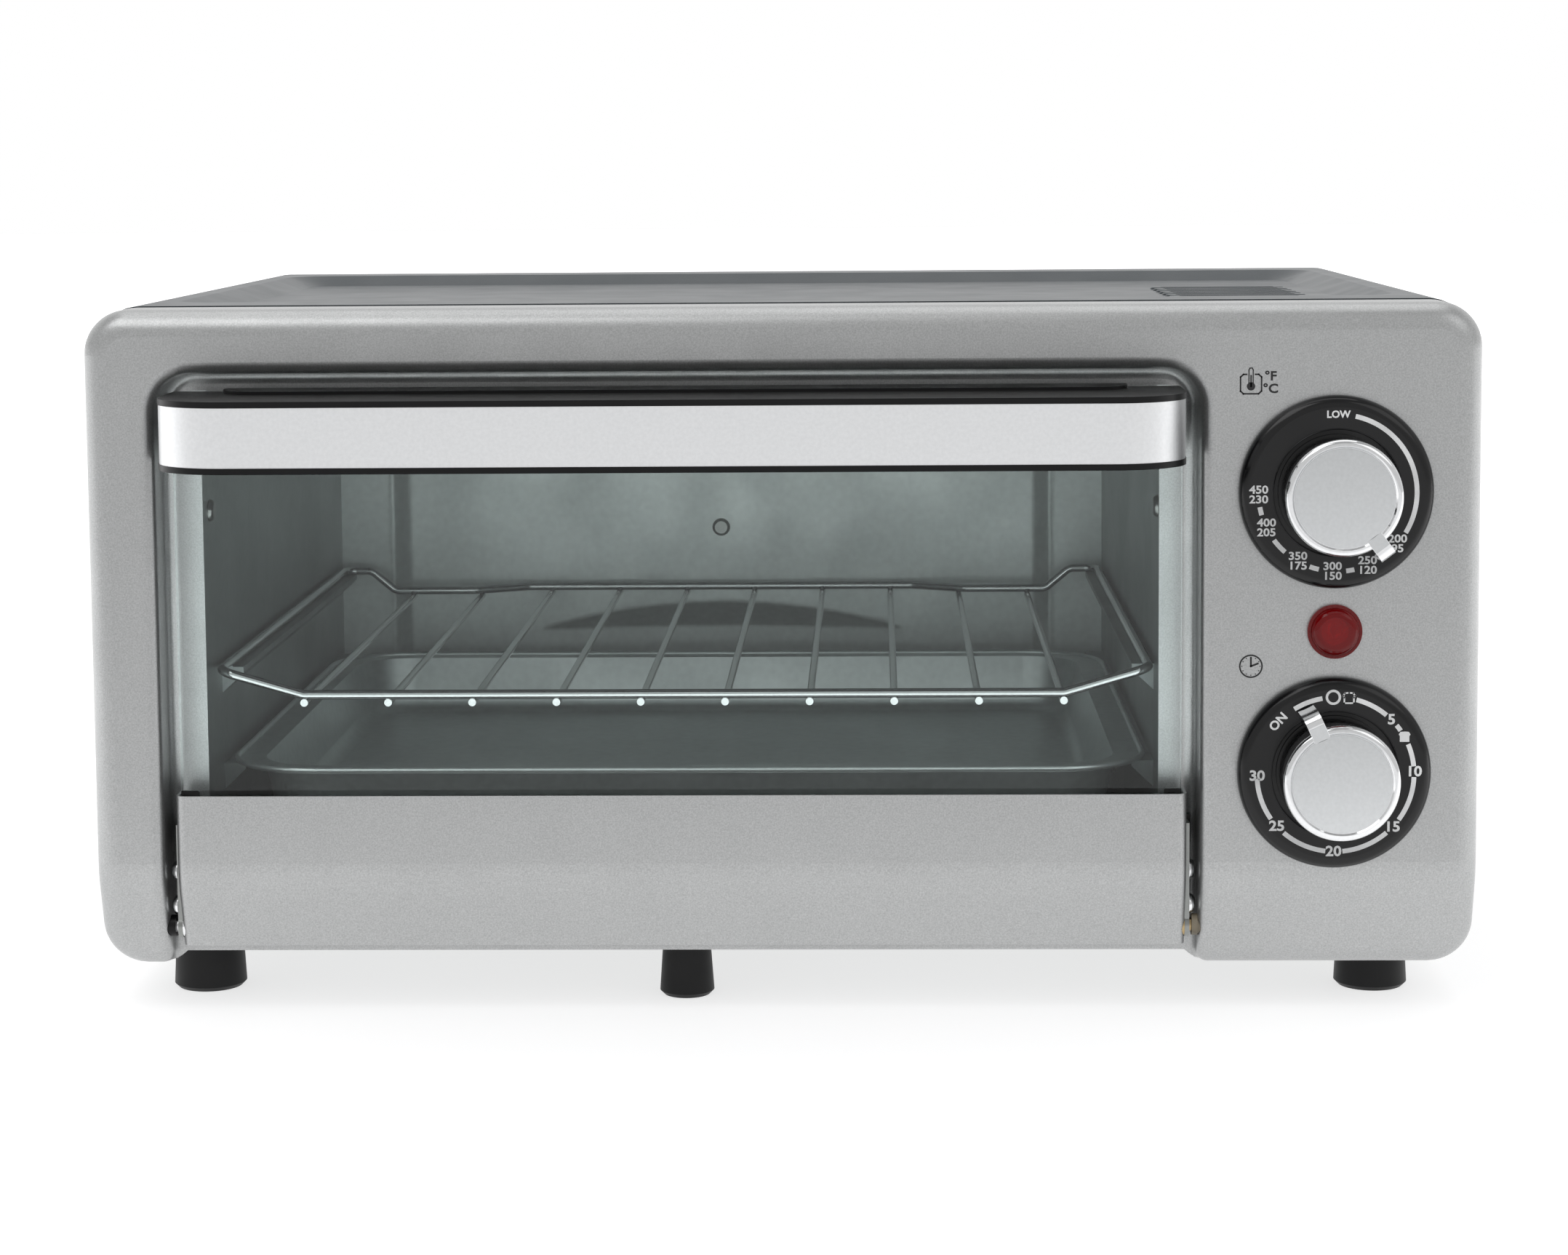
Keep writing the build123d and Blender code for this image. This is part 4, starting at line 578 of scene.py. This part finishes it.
# The floor glows white, painted light over its own shadows: the glow is weaker near the object, so the
# object's shadow stays, and full away from it, where the floor fades to plain white. In metal the glow is a
# painted reflection, dimmer in front.
WHITE = (1, 1, 1, 1)
FLOOR_COLOR = (0.40, 0.40, 0.405, 1)
FLOOR_ROUGHNESS = 0.7
FLOOR_REACH = 9
SHADOW_REACH, SHADOW_GLOW = (0.25, 0.7), (0.70, 1.0)
FRONT_REACH, FRONT_GLOW = (-0.45, -0.18), (0.52, 1.25)

floor_material = bpy.data.materials.new("pale_floor")
floor_material.use_nodes = True
tree = floor_material.node_tree
base = tree.nodes["Principled BSDF"]
base.inputs["Base Color"].default_value = FLOOR_COLOR
base.inputs["Roughness"].default_value = FLOOR_ROUGHNESS
base.inputs["Emission Color"].default_value = WHITE
path = tree.nodes.new("ShaderNodeLightPath")
seen = math_node(tree, "MAXIMUM", path.outputs["Is Camera Ray"], path.outputs["Is Transmission Ray"])
place = tree.nodes.new("ShaderNodeTexCoord")
reach = tree.nodes.new("ShaderNodeVectorMath")
reach.operation = "LENGTH"
tree.links.new(place.outputs["Object"], reach.inputs[0])
# Painted light: the floor's glow lifts its shadows, less near the object than away from it.
glow = remap(tree, reach.outputs["Value"], SHADOW_REACH, SHADOW_GLOW, "SMOOTHSTEP")
spot = tree.nodes.new("ShaderNodeSeparateXYZ")
tree.links.new(place.outputs["Object"], spot.inputs[0])
# Painted reflection: glossy rays see the floor's glow dimmer in front.
near = remap(tree, spot.outputs["Y"], FRONT_REACH, FRONT_GLOW, "SMOOTHSTEP")
mirrored = math_node(tree, "MULTIPLY", path.outputs["Is Glossy Ray"], near)
glow = math_node(tree, "MULTIPLY", glow, math_node(tree, "ADD", seen, mirrored))
tree.links.new(glow, base.inputs["Emission Strength"])
floor_corners = [(i * FLOOR_REACH, j * FLOOR_REACH, 0) for i, j in SQUARE]
floor = add_object("floor", plain_mesh("floor", floor_corners, [(0, 1, 2, 3)]), floor_material)

# The studio is white behind the object, and dimmer overhead and on the side that the front faces.
BEHIND_SPAN, BEHIND_LEVEL = (0.1, 0.6), (0.70, 1.0)
OVERHEAD_SPAN, OVERHEAD_LEVEL = (0.45, 0.9), (1.0, 0.6)
SOFT_LEVEL = 0.85

world = bpy.data.worlds.new("studio")
bpy.context.scene.world = world
world.use_nodes = True
tree = world.node_tree
back = tree.nodes["Background"]
back.inputs["Color"].default_value = WHITE
place = tree.nodes.new("ShaderNodeTexCoord")
split = tree.nodes.new("ShaderNodeSeparateXYZ")
tree.links.new(place.outputs["Generated"], split.inputs[0])
behind = remap(tree, split.outputs["Y"], BEHIND_SPAN, BEHIND_LEVEL, "SMOOTHSTEP")
overhead = remap(tree, split.outputs["Z"], OVERHEAD_SPAN, OVERHEAD_LEVEL, "SMOOTHSTEP")
studio = math_node(tree, "MULTIPLY", behind, overhead)
path = tree.nodes.new("ShaderNodeLightPath")
mirrored = math_node(tree, "MAXIMUM", path.outputs["Is Glossy Ray"], path.outputs["Is Transmission Ray"])
plain = math_node(tree, "MULTIPLY", math_node(tree, "SUBTRACT", 1.0, mirrored), SOFT_LEVEL)
level = math_node(tree, "MAXIMUM", math_node(tree, "MULTIPLY", studio, mirrored), plain)
tree.links.new(math_node(tree, "MAXIMUM", level, path.outputs["Is Camera Ray"]), back.inputs["Strength"])


def softbox(name, place, target, size, power):
    lamp = bpy.data.lights.new(name, "AREA")
    lamp.shape = "RECTANGLE"
    lamp.size, lamp.size_y = size
    lamp.energy = power
    made = bpy.data.objects.new(name, lamp)
    made.location = place
    made.rotation_euler = (Vector(target) - Vector(place)).to_track_quat("-Z", "Y").to_euler()
    bpy.context.scene.collection.objects.link(made)


softbox("key", place=(-0.7, -0.8, 1.7), target=(0, 0, 0.08), size=(1.2, 1.0), power=7.5)
softbox("fill", place=(1.1, -0.9, 1.2), target=(0, 0, 0.08), size=(1.0, 1.0), power=2.5)
softbox("top", place=(0, 0.3, 1.6), target=(0, 0, 0.1), size=(1.4, 1.2), power=5)

# The camera stands a little right of the middle and looks slightly down. Its angles are in radians.
PHOTO_WIDTH = 2156
FOCAL_PIXELS = 4519.9
SENSOR_WIDTH = 36
CAMERA_PLACE = (0.02523, -0.97495, 0.23122)
YAW, PITCH, ROLL = 0.0270, 0.0965, 0.0077

camera_data = bpy.data.cameras.new("camera")
camera = bpy.data.objects.new("camera", camera_data)
bpy.context.scene.collection.objects.link(camera)
bpy.context.scene.camera = camera
camera_data.sensor_fit = "HORIZONTAL"
camera_data.sensor_width = SENSOR_WIDTH
camera_data.lens = FOCAL_PIXELS / PHOTO_WIDTH * SENSOR_WIDTH
camera_data.shift_x = -0.0019
camera_data.shift_y = -0.10
camera_data.clip_start = 0.01
aim = Matrix.Rotation(YAW, 4, "Z") @ Matrix.Rotation(math.pi / 2 - PITCH, 4, "X")
camera.matrix_world = Matrix.Translation(CAMERA_PLACE) @ aim @ Matrix.Rotation(-ROLL, 4, "Z")

bpy.context.scene.view_settings.view_transform = "Standard"
